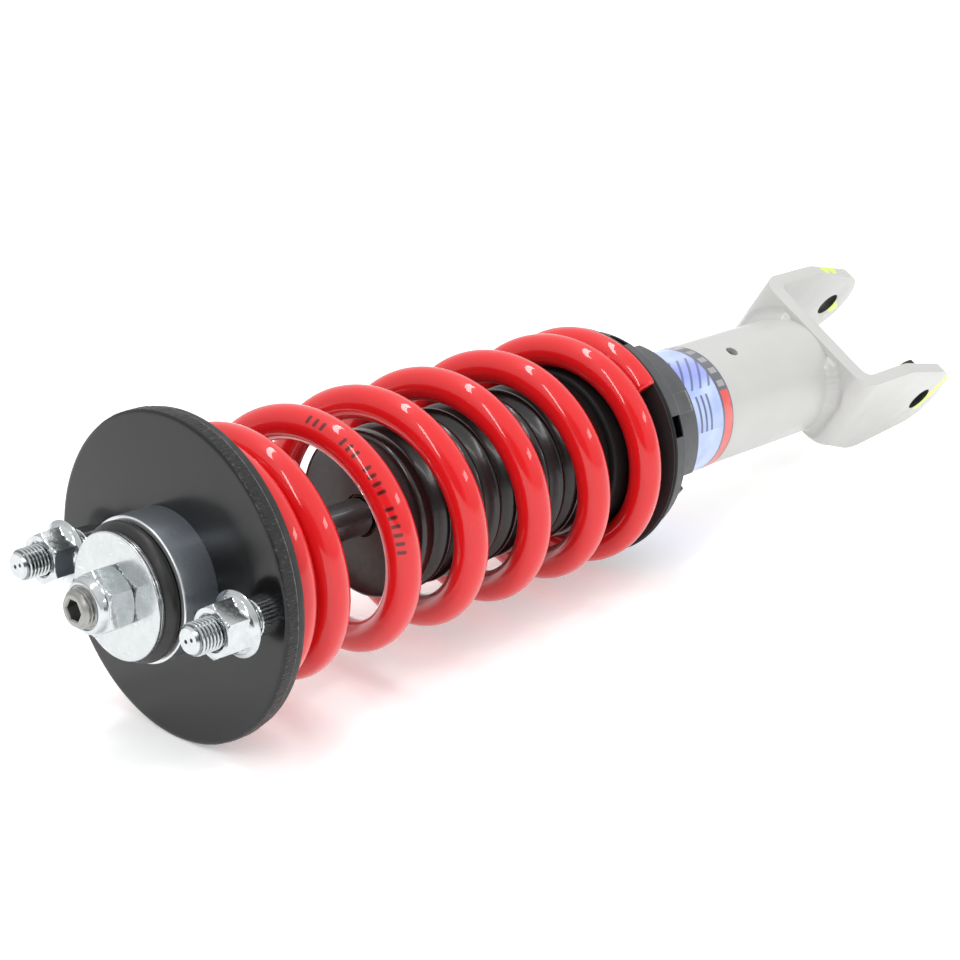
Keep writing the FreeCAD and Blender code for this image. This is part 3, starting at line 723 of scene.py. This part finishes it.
def make_plate():
    """A punched steel disc: a rolled front corner and a torn rim."""
    x0, x1, rim = span("top_plate")
    bore = span("bush_housing")[2]
    roll = 0.9
    rows = [x0 + roll + (x1 - 0.35 - x0 - roll) * i / 6 for i in range(7)]

    def outline(a):
        tear = [0.28 * abs(ragged(rim * cos(a), rim * sin(a), x * 0.25, 0.8)) for x in rows]
        wave = 0.10 + 0.10 * ragged(rim * cos(a), rim * sin(a), 0, 9)
        edge = [(x, rim - 0.05 - wave - t) for x, t in zip(rows, tear)]
        front = [(x0, bore), (x0, rim - 1.9), (x0 + 0.03, rim - 1.3), (x0 + 0.16, rim - 0.75)]
        front.append((x0 + 0.42, rim - 0.32 - wave * 0.5))
        return front + edge + [(x1, rim - 0.45 - wave), (x1, bore)]

    piece = turn_piece("top_plate_disc", "top_plate", outline, 900, extra=[sheared_edge()])
    for face in piece.data.polygons:
        middle = face.center / MM
        if x0 + roll * 0.5 < middle.x and Vector((middle.y, middle.z)).length > rim - 0.75:
            face.material_index = 1


def make_isolator():
    """The rubber ring under the plate, with a land that the ground end of the spring sits on."""
    x0, x1, rim = span("spring_isolator")
    land_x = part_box("coil_spring")[0].x / MM
    outline = rounded([(x0, 26.0), (x0, rim, 0.5), (x0 + 3.0, rim, 1.3), (x0 + 3.3, 45.6, 0.5),
                       (land_x, 44.4, 0.6), (land_x, 30.4), (x1, 30.2, 0.5), (x1, 26.0)], 4)
    turn_piece("isolator_ring", "spring_isolator", outline, 240)


def make_housing():
    """The steel sleeve through the plate that holds the rubber bush."""
    x0, x1, outer = span("bush_housing")
    inner = outer - 1.9
    outline = rounded([(x0, inner, 0.4), (x0, outer, 0.45), (x1, outer), (x1, inner)], 4)
    turn_piece("bush_sleeve", "bush_housing", outline, 180, turned_zinc())


def make_bush():
    """The rubber swells over the housing's rim and is pinched by the washers."""
    x0, x1, swell = span("rubber_bush")
    mouth = span("bush_housing")[0]
    bore = span("bush_spacer")[2]
    outline = rounded([(x0, bore), (x0, swell - 2.2, 0.7), (x0 + 1.6, swell - 0.25, 1.0),
                       (mouth - 1.3, swell, 0.9), (mouth - 0.1, swell - 1.4, 0.4), (mouth + 0.6, swell - 1.1),
                       (5.0, swell - 1.1), (5.8, swell - 0.3, 0.5), (x1 - 1.0, swell - 0.3, 0.8),
                       (x1, swell - 2.0, 0.5), (x1, bore)], 5)
    turn_piece("bush_rubber_body", "rubber_bush", outline, 180)


def make_washer(node, name, edge):
    """A stamped washer: rounded on the die side, with a small burr on the other."""
    x0, x1, outer = span(node)
    bore = span("piston_rod")[2] - 0.25
    outline = rounded([(x0, bore), (x0, outer, edge), (x1, outer - 0.05, 0.12), (x1, bore)], 4)
    turn_piece(name, node, outline, 180, stamped_washer())


def make_rod_nut():
    """A hexagon lock nut: its corners are coned and a round collar is rolled in over the nylon."""
    x0, x1, corner = span("rod_nut")
    flats = corner * sqrt(3)
    shank = 5.95
    collar_end = x1 - 9.0
    rows = [x1 - d for d in (0, 0.12, 0.3, 0.6, 1.0, 1.5, 2.4, 6.4, 7.0, 7.5, 7.9, 8.2, 8.5, 8.75, 9.0)]

    def outline(a):
        points = [(x1, shank), (x1, flats / 2 - 0.9)]
        for x in rows:
            far_end = flats / 2 - 0.25 + (x1 - x) / HEX_CORNER_CONE
            near_end = flats / 2 - 0.1 + (x - collar_end) / HEX_CORNER_CONE
            points.append((x, min(hex_radius(a, flats) - 0.04, far_end, near_end)))
        collar = [(collar_end, 8.75), (collar_end - 0.25, 8.55), (collar_end - 1.2, 8.45), (x0 + 0.9, 8.3),
                  (x0 + 0.4, 8.05), (x0 + 0.12, 7.6), (x0, 7.1), (x0 + 0.05, 6.9), (x0 + 0.6, 6.75),
                  (x0 + 0.6, shank)]
        return points + collar

    turn_piece("rod_lock_nut", "rod_nut", outline, 144, sharp=30)


def make_rod():
    """The piston rod: chromed shank, threaded end with a hexagon socket, and the piston's spigot."""
    x0, x1, shank = span("piston_rod")
    stud = shank - 0.3
    socket = 6.0
    step_x = span("lower_washer")[1]
    piston_x = span("piston")[0]
    rows = thread_rows(x0 + 1.0, x0 + 17, COARSE_PITCH)

    def outline(a):
        hollow = hex_radius(a + pi / 6, socket)
        points = [(x0 + 7.0, 0), (x0 + 6.4, hollow), (x0 + 0.5, hollow), (x0, hollow + 0.35),
                  (x0, stud - 1.3), (x0 + 0.15, stud - 1.05)]
        for x in rows:
            cone = stud - 1.0 + (x - x0 - 0.2)
            points.append((x, min(cone, thread_radius(x, a, COARSE_PITCH, stud, 0.72))))
        return points + [(x0 + 17.2, stud), (step_x - 0.3, stud), (step_x, shank - 0.3),
                         (step_x + 0.3, shank), (piston_x, shank), (piston_x, 5.0),
                         (x1 - 0.8, 5.0), (x1, 4.3), (x1, 0)]

    threaded = bare_steel("thread_steel", 0.36, 0.3)
    piece = turn_piece("piston_rod_shaft", "piston_rod", outline, 96, sharp=30, extra=[threaded])
    for face in piece.data.polygons:
        if face.center.x < 0:
            face.material_index = 1


def stud_sides():
    """Where the two studs stand along Y: their shoulders reach 6 mm further out."""
    return [side * (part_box("mount_studs")[1].y / MM - STUD_SHOULDER) for side in (-1, 1)]


def on_both_sides(part):
    """A turned (points, faces) part moved to each stud's axis."""
    points, faces = part
    return joined(*[([tuple(Vector(p) + Vector((0, y, 0))) for p in points], faces) for y in stud_sides()])


def make_studs():
    """Two pressed-in studs with a splined shoulder, a rolled thread and a dished, dotted tip."""
    x0, x1, _ = span("mount_studs")
    crest = 5.0
    shoulder = STUD_SHOULDER
    rows = thread_rows(x0 + 0.7, -3.6, COARSE_PITCH)

    def outline(a):
        spline = shoulder - 0.28 * (1 + cos(a * 24)) / 2
        points = [(x0 + 0.12, 0), (x0 + 0.1, crest - 2.0), (x0, crest - 1.5), (x0, crest - 1.3)]
        for x in rows:
            cone = crest - 0.9 + (x - x0 - 0.6) * 0.9
            points.append((x, min(cone, thread_radius(x, a, COARSE_PITCH, crest, 0.74))))
        return points + [(-3.3, crest - 0.2), (-3.2, shoulder - 0.4), (-2.9, spline), (-0.02, spline),
                         (-0.02, crest), (x1 - 0.3, crest), (x1, crest - 0.3), (x1, 0)]

    pair = on_both_sides(turned_points(outline, around(72)))
    add_piece("plate_studs", "mount_studs", *pair, stud_steel(), sharp=30)


def make_flange_nuts():
    """Hexagon nuts with a coned flange, toothed underneath, one on each stud."""
    x0, x1, _ = span("stud_flange_nuts")
    flats = 15.0
    flange = 10.1
    rows = [x1 - d for d in (1.9, 2.2, 2.5, 2.8, 3.2, 3.8, 7.6, 8.2, 8.7, 9.1, 9.4, 9.7, 9.95, 10.2)]

    def outline(a):
        tooth = 0.3 * (0.5 + 0.5 * sin(a * 20))
        points = [(x1, 5.0), (x1 - 0.1, 6.6), (x1 - tooth, 7.2), (x1 - tooth, flange - 0.35),
                  (x1 - 0.42, flange - 0.08), (x1 - 0.62, flange), (x1 - 0.9, flange - 0.1),
                  (x1 - 1.3, flange - 0.7), (x1 - 1.6, 8.9)]
        for x in rows:
            skirt = 8.75 - (x1 - x - 1.9) * 1.1
            top = flats / 2 - 0.15 + (x - x0) / HEX_CORNER_CONE
            points.append((x, max(min(hex_radius(a, flats) - 0.05, top), min(skirt, 8.75))))
        return points + [(x0, 5.9), (x0 + 0.7, 5.05)]

    pair = on_both_sides(turned_points(outline, around(144)))
    add_piece("flange_nut_pair", "stud_flange_nuts", *pair, sharp=30)


# ---------------------------------------------------------------- spring

def make_spring():
    """Round wire wound on the coil, painted, with both end coils ground flat."""
    start, end, outside = span("coil_spring")
    mean = outside - WIRE_R - 0.015
    per_turn = 96
    sides = 32
    tip = 0.006
    count = int((COIL_LAST_TURN - COIL_FIRST_TURN) * per_turn)

    def centre(turn):
        a = COIL_REFERENCE_ANGLE + 2 * pi * turn
        return Vector((coil_x(turn), mean * cos(a), mean * sin(a)))

    def ring(turn, radius):
        middle = centre(turn)
        along = (centre(turn + 0.001) - centre(turn - 0.001)).normalized()
        outwards = Vector((0, middle.y, middle.z)).normalized()
        across = along.cross(outwards).normalized()
        points = []
        for k in range(sides):
            b = 2 * pi * k / sides
            p = middle + outwards * cos(b) * radius + across * sin(b) * radius
            p.x = min(max(p.x, start + 0.01), end - 0.01)
            points.append(tuple(p))
        return points

    eased = [(0, WIRE_R - 0.8), (tip * 0.15, WIRE_R - 0.35), (tip * 0.5, WIRE_R - 0.08)]
    between = COIL_LAST_TURN - COIL_FIRST_TURN - 2 * tip
    rings = [ring(COIL_FIRST_TURN + turn, radius) for turn, radius in eased]
    rings += [ring(COIL_FIRST_TURN + tip + between * i / count, WIRE_R) for i in range(count + 1)]
    rings += [ring(COIL_LAST_TURN - turn, radius) for turn, radius in reversed(eased)]
    piece = add_piece("red_coil", "coil_spring", *lofted(rings), sharp=50, rides=False)
    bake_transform(piece)


# ---------------------------------------------------------------- boot, seat and collars

def make_boot():
    """A blow moulded boot: flat end, soft round pleats and a plain cuff on the seat's neck."""
    x0, x1, cuff = span("dust_boot")
    ridge = 28.0
    valley = 24.3
    wall = 1.1
    first = 84.0
    last = 164.0
    pleats = 10
    step = (last - first) / pleats
    fine = 12
    outer = rounded([(x0, 7.2), (x0, ridge, 2.2), (first - 0.8, ridge)], 6)
    for i in range(pleats * fine):
        x = first + step * i / fine
        wave = (1 + cos(2 * pi * i / fine)) / 2
        outer.append((x, valley + (ridge - valley) * wave ** 0.75))
    outer += rounded([(last, ridge), (last + 0.8, cuff, 0.5), (x1 - 0.4, cuff, 0.4),
                      (x1, cuff - wall)], 3)[1:]
    inner = [(x, max(r - wall, 7.2)) for x, r in outer if x > x0 + 4 and x < x1 - 1]
    inner = [(x0 + wall, 7.2), (x0 + wall, ridge - 2.5)] + inner
    outline = outer + inner[::-1]
    turn_piece("pleated_boot", "dust_boot", outline, 160, sharp=60)


def make_slip_washer():
    """The thin disc between the spring and its seat."""
    x0, x1, outer = span("slip_washer")
    outline = rounded([(x0, 30.6), (x0, outer, 0.2), (x1, outer, 0.2), (x1, 30.6)], 2)
    turn_piece("slip_disc", "slip_washer", outline, 200)


def make_seat():
    """The spring seat: neck, spigot and thin flange, bored for the threaded sleeve."""
    x0, x1, rim = span("spring_seat")
    flange_x = span("slip_washer")[1]
    spigot_x = x0 + 6.0
    outline = rounded([(x0, THREAD_BORE), (x0, 27.1, 0.4), (spigot_x, 27.1), (spigot_x, 30.3, 1.4),
                       (flange_x, 30.3), (flange_x, rim, 0.3), (x1, rim, 0.3), (x1, THREAD_BORE)], 3)
    turn_piece("lower_spring_seat", "spring_seat", outline, 200)


def slots_at(first, count, half):
    """A test of whether an angle is inside one of the even slots, and the angles of the slots' walls."""
    centres = [first + 2 * pi / count * i for i in range(count)]
    walls = [c + side * half for c in centres for side in (-1, 1)]
    return (lambda a: any(abs((a - c + pi) % (2 * pi) - pi) < half for c in centres)), walls


def make_height_collar():
    """The adjuster collar: a full lip, slots behind it and one tab that reaches over the lock ring."""
    x0, tab_end, rim = span("adjuster_collar")
    x1 = COLLAR_END
    lip_end = COLLAR_LIP_END
    floor_r = rim - COLLAR_SLOT_DEPTH
    half = COLLAR_SLOT_HALF / rim
    in_slot, walls = slots_at(COLLAR_SLOT_AT, 6, half)

    def outline(a):
        top = floor_r if in_slot(a) else rim
        return [(x0, THREAD_BORE), (x0, rim - 0.5), (x0 + 0.15, rim - 0.15), (x0 + 0.5, rim),
                (lip_end - 0.15, rim), (lip_end, rim - 0.12), (lip_end + 0.02, top - 0.12),
                (lip_end + 0.2, top), (x1 - 0.75, top), (x1 - 0.72, rim - 0.1), (x1 - 0.6, rim),
                (x1 - 0.25, rim), (x1, rim - 0.25), (x1, THREAD_BORE)]

    ring = turned_points(outline, around(240, walls))
    corner = 0.25 / rim
    rows = [(-half, 0.3), (-half + corner * 0.4, 0.1), (-half + corner, 0.0)]
    rows += [(half * t, 0.0) for t in (-0.6, -0.2, 0.2, 0.6)]
    rows += [(half - corner, 0.0), (half - corner * 0.4, 0.1), (half, 0.3)]
    sections = []
    for turn, inset in rows:
        a = TAB_AT + turn
        section = [(x1 - 1.0, floor_r), (x1 - 1.0, rim - inset), (tab_end - 0.35, rim - inset),
                   (tab_end - 0.1, rim - 0.1 - inset), (tab_end - inset * 0.5, rim - 0.35 - inset),
                   (tab_end - inset * 0.5, floor_r + 0.2), (tab_end - 0.2, floor_r)]
        sections.append([(x, r * cos(a), r * sin(a)) for x, r in section])
    both = joined(ring, lofted(sections))
    add_piece("height_collar", "adjuster_collar", *both, sharp=25)


def make_lock_ring():
    """The long jam ring, with three spanner slots through its rim."""
    x0, x1, _ = span("lock_ring")
    in_slot, walls = slots_at(LOCK_SLOT_AT, 3, LOCK_SLOT_HALF / LOCK_RING_R)

    def outline(a):
        top = LOCK_RING_R - LOCK_SLOT_DEPTH if in_slot(a) else LOCK_RING_R
        return [(x0, THREAD_BORE), (x0, top - 0.6), (x0 + 0.2, top - 0.2), (x0 + 0.6, top), (x1 - 0.8, top),
                (x1 - 0.25, top - 0.2), (x1, top - 0.8), (x1, THREAD_BORE + 0.5), (x1 - 0.5, THREAD_BORE)]

    turn_piece("locking_collar", "lock_ring", outline, 240, breaks=walls, sharp=25)


# ---------------------------------------------------------------- damper body

def make_sleeve():
    """The threaded sleeve the collars run on: a right-handed thread of 2 mm pitch."""
    x0, x1, crest = span("threaded_sleeve")
    inner = span("damper_tube")[2]
    rows = thread_rows(x0 + 0.8, x1 - 1.5, SLEEVE_PITCH)

    def outline(a):
        points = [(x0, inner), (x0, crest - 1.0)]
        points += [(x, thread_radius(x, a, SLEEVE_PITCH, crest, 1.05)) for x in rows]
        return points + [(x1 - 1.2, crest - 1.0), (x1, crest - 1.0), (x1, inner)]

    turn_piece("sleeve_thread", "threaded_sleeve", outline, 120, sharp=30)


def make_body_tube():
    """The painted tube, with a small drain hole drilled near its middle."""
    x0, x1, outer = span("bracket_tube")
    inner = span("damper_tube")[2]
    rows = [x0 + (x1 - x0) * i / 24 for i in range(25)]
    outline = [(x, outer) for x in rows] + [(x1, inner), (x0, inner)]
    piece = turn_piece("body_tube", "bracket_tube", outline, 192)
    direction = Vector((0, cos(DRAIN_AT), sin(DRAIN_AT)))
    combine(piece, drill(Vector((DRAIN_X, 0, 0)) + direction * inner, direction, DRAIN_R, 8.0))
    polish(piece.data, 38)


def make_label():
    """The printed film round the tube, a little proud of the paint."""
    x0, x1, outer = span("label_band")
    inner = span("bracket_tube")[2]
    outline = [(x0, inner - 0.05), (x0, outer - 0.03), (x0 + 0.05, outer), (x1 - 0.05, outer),
               (x1, outer - 0.03), (x1, inner - 0.05)]
    turn_piece("printed_band", "label_band", outline, 192, sharp=60)


def prism(outline, place_at, low, high):
    """A solid between two levels of a flat outline."""
    size = len(outline)
    points = [place_at(p, low) for p in outline] + [place_at(p, high) for p in outline]
    faces = [tuple(reversed(range(size))), tuple(range(size, 2 * size))]
    faces += [(i, (i + 1) % size, size + (i + 1) % size, size + i) for i in range(size)]
    return points, faces


def drill(start, direction, radius, length, sides=48):
    """A round cutter from a place, pointing along a direction."""
    turn = direction.to_track_quat("Z", "Y").to_matrix()
    angles = [2 * pi * i / sides for i in range(sides)]
    circle = [(radius * cos(a), radius * sin(a)) for a in angles]
    return prism(circle, lambda p, z: start + turn @ Vector((*p, z)), -0.5, length)


def combine(piece, part, operation="DIFFERENCE"):
    """Cuts a (points, faces) solid out of the piece, or keeps what the two share."""
    tool = new_object("tool", *part)
    work = bmesh.new()
    work.from_mesh(tool.data)
    bmesh.ops.recalc_face_normals(work, faces=work.faces)
    work.to_mesh(tool.data)
    work.free()
    step = piece.modifiers.new("cut", "BOOLEAN")
    step.operation = operation
    step.solver = "EXACT"
    step.object = tool
    bpy.context.view_layer.update()
    settle(piece)
    bpy.data.objects.remove(tool)


def settle(piece):
    """Makes the result of the piece's modifiers its own mesh."""
    seen = piece.evaluated_get(bpy.context.evaluated_depsgraph_get())
    result = bpy.data.meshes.new_from_object(seen)
    piece.modifiers.clear()
    piece.data = result


# ---------------------------------------------------------------- fork

def arc_points(cx, cy, radius, a0, a1, steps):
    """Points of an arc between two angles in degrees."""
    angles = [radians(a0 + (a1 - a0) * i / steps) for i in range(steps + 1)]
    return [(cx + radius * cos(a), cy + radius * sin(a)) for a in angles]


def fork_plan(back, reach):
    """The bent strip seen along the ears' depth: (x, u) points, the web at the left."""
    front = back + FORK_PLATE
    bend = 9.0
    crease = 4.0
    right = [(reach, FORK_OUTER)] + arc_points(back + bend, FORK_OUTER - bend, bend, 90, 180, 12)
    left = [(x, -u) for x, u in reversed(right)]
    inside_left = [(reach, -FORK_INNER)]
    inside_left += arc_points(front + crease, crease - FORK_INNER, crease, 270, 180, 8)
    inside_right = [(x, -u) for x, u in reversed(inside_left)]
    return right + left + inside_left + inside_right


def smooth_corner(before, corner, after, reach, steps=10):
    """A corner replaced by a curve that starts and ends the given distance away."""
    corner = Vector(corner)
    start = (Vector(before) - corner).normalized() * reach
    end = (Vector(after) - corner).normalized() * reach
    ts = [i / steps for i in range(steps + 1)]
    return [tuple(corner + start * (1 - t) ** 2 + end * t * t) for t in ts]


def fork_side(back):
    """The bracket from the side: flat top, sloping shoulder, round tip and belly, as (x, v) points."""
    tip = arc_points(PIN_X, 0, EAR_TIP, -79, 78, 28)
    shoulder = (350.0, EAR_TOP)
    belly = (346.0, -20.6)
    web_low = (back + FORK_PLATE, WEB_BOTTOM)
    outline = list(tip)
    outline += smooth_corner(tip[-1], shoulder, (back, EAR_TOP), 4.0)
    outline += [(back - 1, EAR_TOP), (back - 1, WEB_BOTTOM), web_low]
    outline += smooth_corner(web_low, belly, tip[0], 8.0)
    return outline


def make_fork():
    """The bent bracket, cut to its side outline, drilled, with every edge eased."""
    back = span("bracket_tube")[1]
    reach = PIN_X + EAR_TIP + 5
    blank = prism(fork_plan(back, reach), lambda p, v: fork_place(p[0], p[1], v), -40, 40)
    piece = add_piece("fork_bracket_body", "fork_bracket", *blank)
    combine(piece, prism(fork_side(back), lambda p, u: fork_place(p[0], u, p[1]), -45, 45), "INTERSECT")
    across = Vector((0, cos(FORK_TILT), sin(FORK_TILT)))
    combine(piece, drill(Vector((PIN_X, 0, 0)) - across * 45, across, PIN_HOLE, 90, 64))
    ease = piece.modifiers.new("ease", "BEVEL")
    ease.width = 0.7 * MM
    ease.segments = 3
    ease.limit_method = "ANGLE"
    ease.angle_limit = radians(40)
    ease.harden_normals = False
    settle(piece)
    polish(piece.data, 30)


def make_weld():
    """Two runs of rippled weld where the tube meets the web, one on each side."""
    _, x1, tube = span("bracket_tube")
    leg = 5.0
    steps = 90
    ring = 9

    def section(start, end, i):
        a = radians(start + (end - start) * i / steps)
        level = EAR_TOP - 0.3 if sin(a) > 0 else WEB_BOTTOM + 0.3
        room = min(level / sin(a) if abs(sin(a)) > 0.01 else 99, (FORK_OUTER - 4.0) / abs(cos(a)))
        uneven = 1 + 0.03 * sin(2 * pi * i / 5) + 0.05 * ragged(i * 0.4, start, 0, 1)
        taper = min(1, 10 * i / steps, 10 * (1 - i / steps)) ** 0.5
        size = max(0.15, taper * min(leg * uneven, room - tube))
        points = []
        for k in range(ring):
            b = pi / 2 * k / (ring - 1)
            x = x1 - size * (1 - sin(b)) * 0.98
            r = tube + size * (1 - cos(b)) * 0.98
            points.append(fork_place(x, r * cos(a), r * sin(a)))
        return points + [fork_place(x1, (tube - 0.1) * cos(a), (tube - 0.1) * sin(a))]

    sides = ((-27, 64), (116, 207))
    runs = [lofted([section(*side, i) for i in range(steps + 1)]) for side in sides]
    add_piece("weld_runs", "weld_bead", *joined(*runs), sharp=60)


def make_captive_nut():
    """The hexagon nut welded inside the near ear, with a threaded hole."""
    flats = 18.0
    height = 9.0
    rows = [0.0, 0.4, 3.0, height - 1.6, height - 1.1, height - 0.8, height - 0.5, height - 0.25, height]

    def outline(a):
        points = [(0, PIN_HOLE)]
        for x in rows:
            top = flats / 2 - 0.2 + (height - x) / HEX_CORNER_CONE
            points.append((x, min(hex_radius(a, flats) - 0.05, top)))
        points += [(height, PIN_HOLE + 0.9), (height - 0.8, PIN_HOLE)]
        for x in reversed(thread_rows(0.4, height - 0.9, COARSE_PITCH)):
            points.append((x, PIN_HOLE + 0.5 - 0.5 * thread_radius(x, a, COARSE_PITCH, 1, 1)))
        return points

    points, faces = turned_points(outline, around(96))
    turned_out = [fork_place(PIN_X - p[1], -FORK_INNER + p[0], p[2]) for p in points]
    add_piece("ear_nut", "captive_nut", turned_out, faces, sharp=30)


# ---------------------------------------------------------------- studio

def make_stage():
    """A pale floor that slopes so that it touches the plate's rim and the fork. It glows a little."""
    plate_low = -span("top_plate")[2]
    slope = 0.0325
    size = 6000
    corners = ((-size, -size), (size, -size), (size, size), (-size, size))
    floor = new_object("studio_floor", [(x, y, plate_low + slope * x) for x, y in corners], [(0, 1, 2, 3)])
    f = Finish("studio_paper", (0.93, 0.93, 0.93), roughness=0.6, Emission_Color=(1, 1, 1, 1),
               Emission_Strength=0.3)
    f.gloss(f.speckle(300, 0.3, 0.7), 0.7)
    f.relief(f.speckle(5, 0.3, 0.7), 0.002)
    floor.data.materials.append(f.material)


def make_lamp(name, place, size, power):
    """A white panel lamp aimed at the middle of the strut. Places and sizes are metres."""
    aim = Vector((0.17, 0, 0))
    data = bpy.data.lights.new(name, "AREA")
    data.shape = "RECTANGLE"
    data.size, data.size_y = size
    data.energy = power
    lamp = bpy.data.objects.new(name, data)
    lamp.location = place
    lamp.rotation_mode = "QUATERNION"
    lamp.rotation_quaternion = (aim - Vector(place)).to_track_quat("-Z", "Y")
    bpy.context.scene.collection.objects.link(lamp)


def make_studio():
    """Light paper all round, brighter overhead and dark behind the camera, with three soft lamps."""
    world = bpy.data.worlds.new("studio")
    bpy.context.scene.world = world
    world.use_nodes = True
    nodes = world.node_tree.nodes
    link = world.node_tree.links.new
    sky = nodes["Background"]
    sky.inputs[0].default_value = (1, 1, 1, 1)
    place = nodes.new("ShaderNodeTexCoord").outputs["Generated"]
    height = nodes.new("ShaderNodeSeparateXYZ")
    link(place, height.inputs[0])
    behind = nodes.new("ShaderNodeVectorMath")
    behind.operation = "DOT_PRODUCT"
    link(place, behind.inputs[0])
    behind.inputs[1].default_value = Vector((-0.74, -0.64, 0.2)).normalized()
    strength = nodes.new("ShaderNodeMath")
    strength.operation = "MULTIPLY"
    ramps = ((height.outputs[2], (0.0, 0.9, SKY_HORIZON, SKY_TOP)),
             (behind.outputs["Value"], (0.86, 0.97, 1.0, 0.12)))
    for socket, (source, values) in enumerate(ramps):
        ramp = nodes.new("ShaderNodeMapRange")
        link(source, ramp.inputs[0])
        for index, value in enumerate(values):
            ramp.inputs[index + 1].default_value = value
        link(ramp.outputs[0], strength.inputs[socket])
    link(strength.outputs[0], sky.inputs[1])
    make_lamp("overhead", (0.15, 0.1, 1.1), (1.0, 0.1), 4.2)
    make_lamp("left_bank", (-0.75, -0.35, 0.7), (0.1, 0.8), 3.0)
    make_lamp("right_bank", (0.6, -0.9, 0.5), (0.5, 0.12), 1.2)
    bpy.context.scene.view_settings.view_transform = "Standard"


def make_camera():
    """A long lens from ahead of the top plate, above and to the near side."""
    data = bpy.data.cameras.new("camera")
    data.sensor_width = 36
    data.lens = 79.0
    data.clip_start = 0.01
    data.clip_end = 50
    camera = bpy.data.objects.new("camera", data)
    right = Vector((0.676, -0.736, 0.022)).normalized()
    forward = Vector((0.701, 0.634, -0.326)).normalized()
    up = right.cross(forward).normalized()
    right = forward.cross(up)
    turn = Matrix((right, up, -forward)).transposed()
    camera.matrix_world = Matrix.Translation((-0.3686, -0.4567, 0.2333)) @ turn.to_4x4()
    bpy.context.scene.collection.objects.link(camera)
    bpy.context.scene.camera = camera


make_plate()
make_isolator()
make_housing()
make_bush()
make_washer("backing_washer", "washer_behind", 0.3)
make_washer("top_washer", "washer_in_front", 0.45)
make_washer("lower_washer", "washer_below", 0.4)
make_rod_nut()
make_rod()
make_studs()
make_flange_nuts()
make_spring()
make_boot()
make_slip_washer()
make_seat()
make_height_collar()
make_lock_ring()
make_sleeve()
make_body_tube()
make_label()
make_fork()
make_weld()
make_captive_nut()
make_stage()
make_studio()
make_camera()
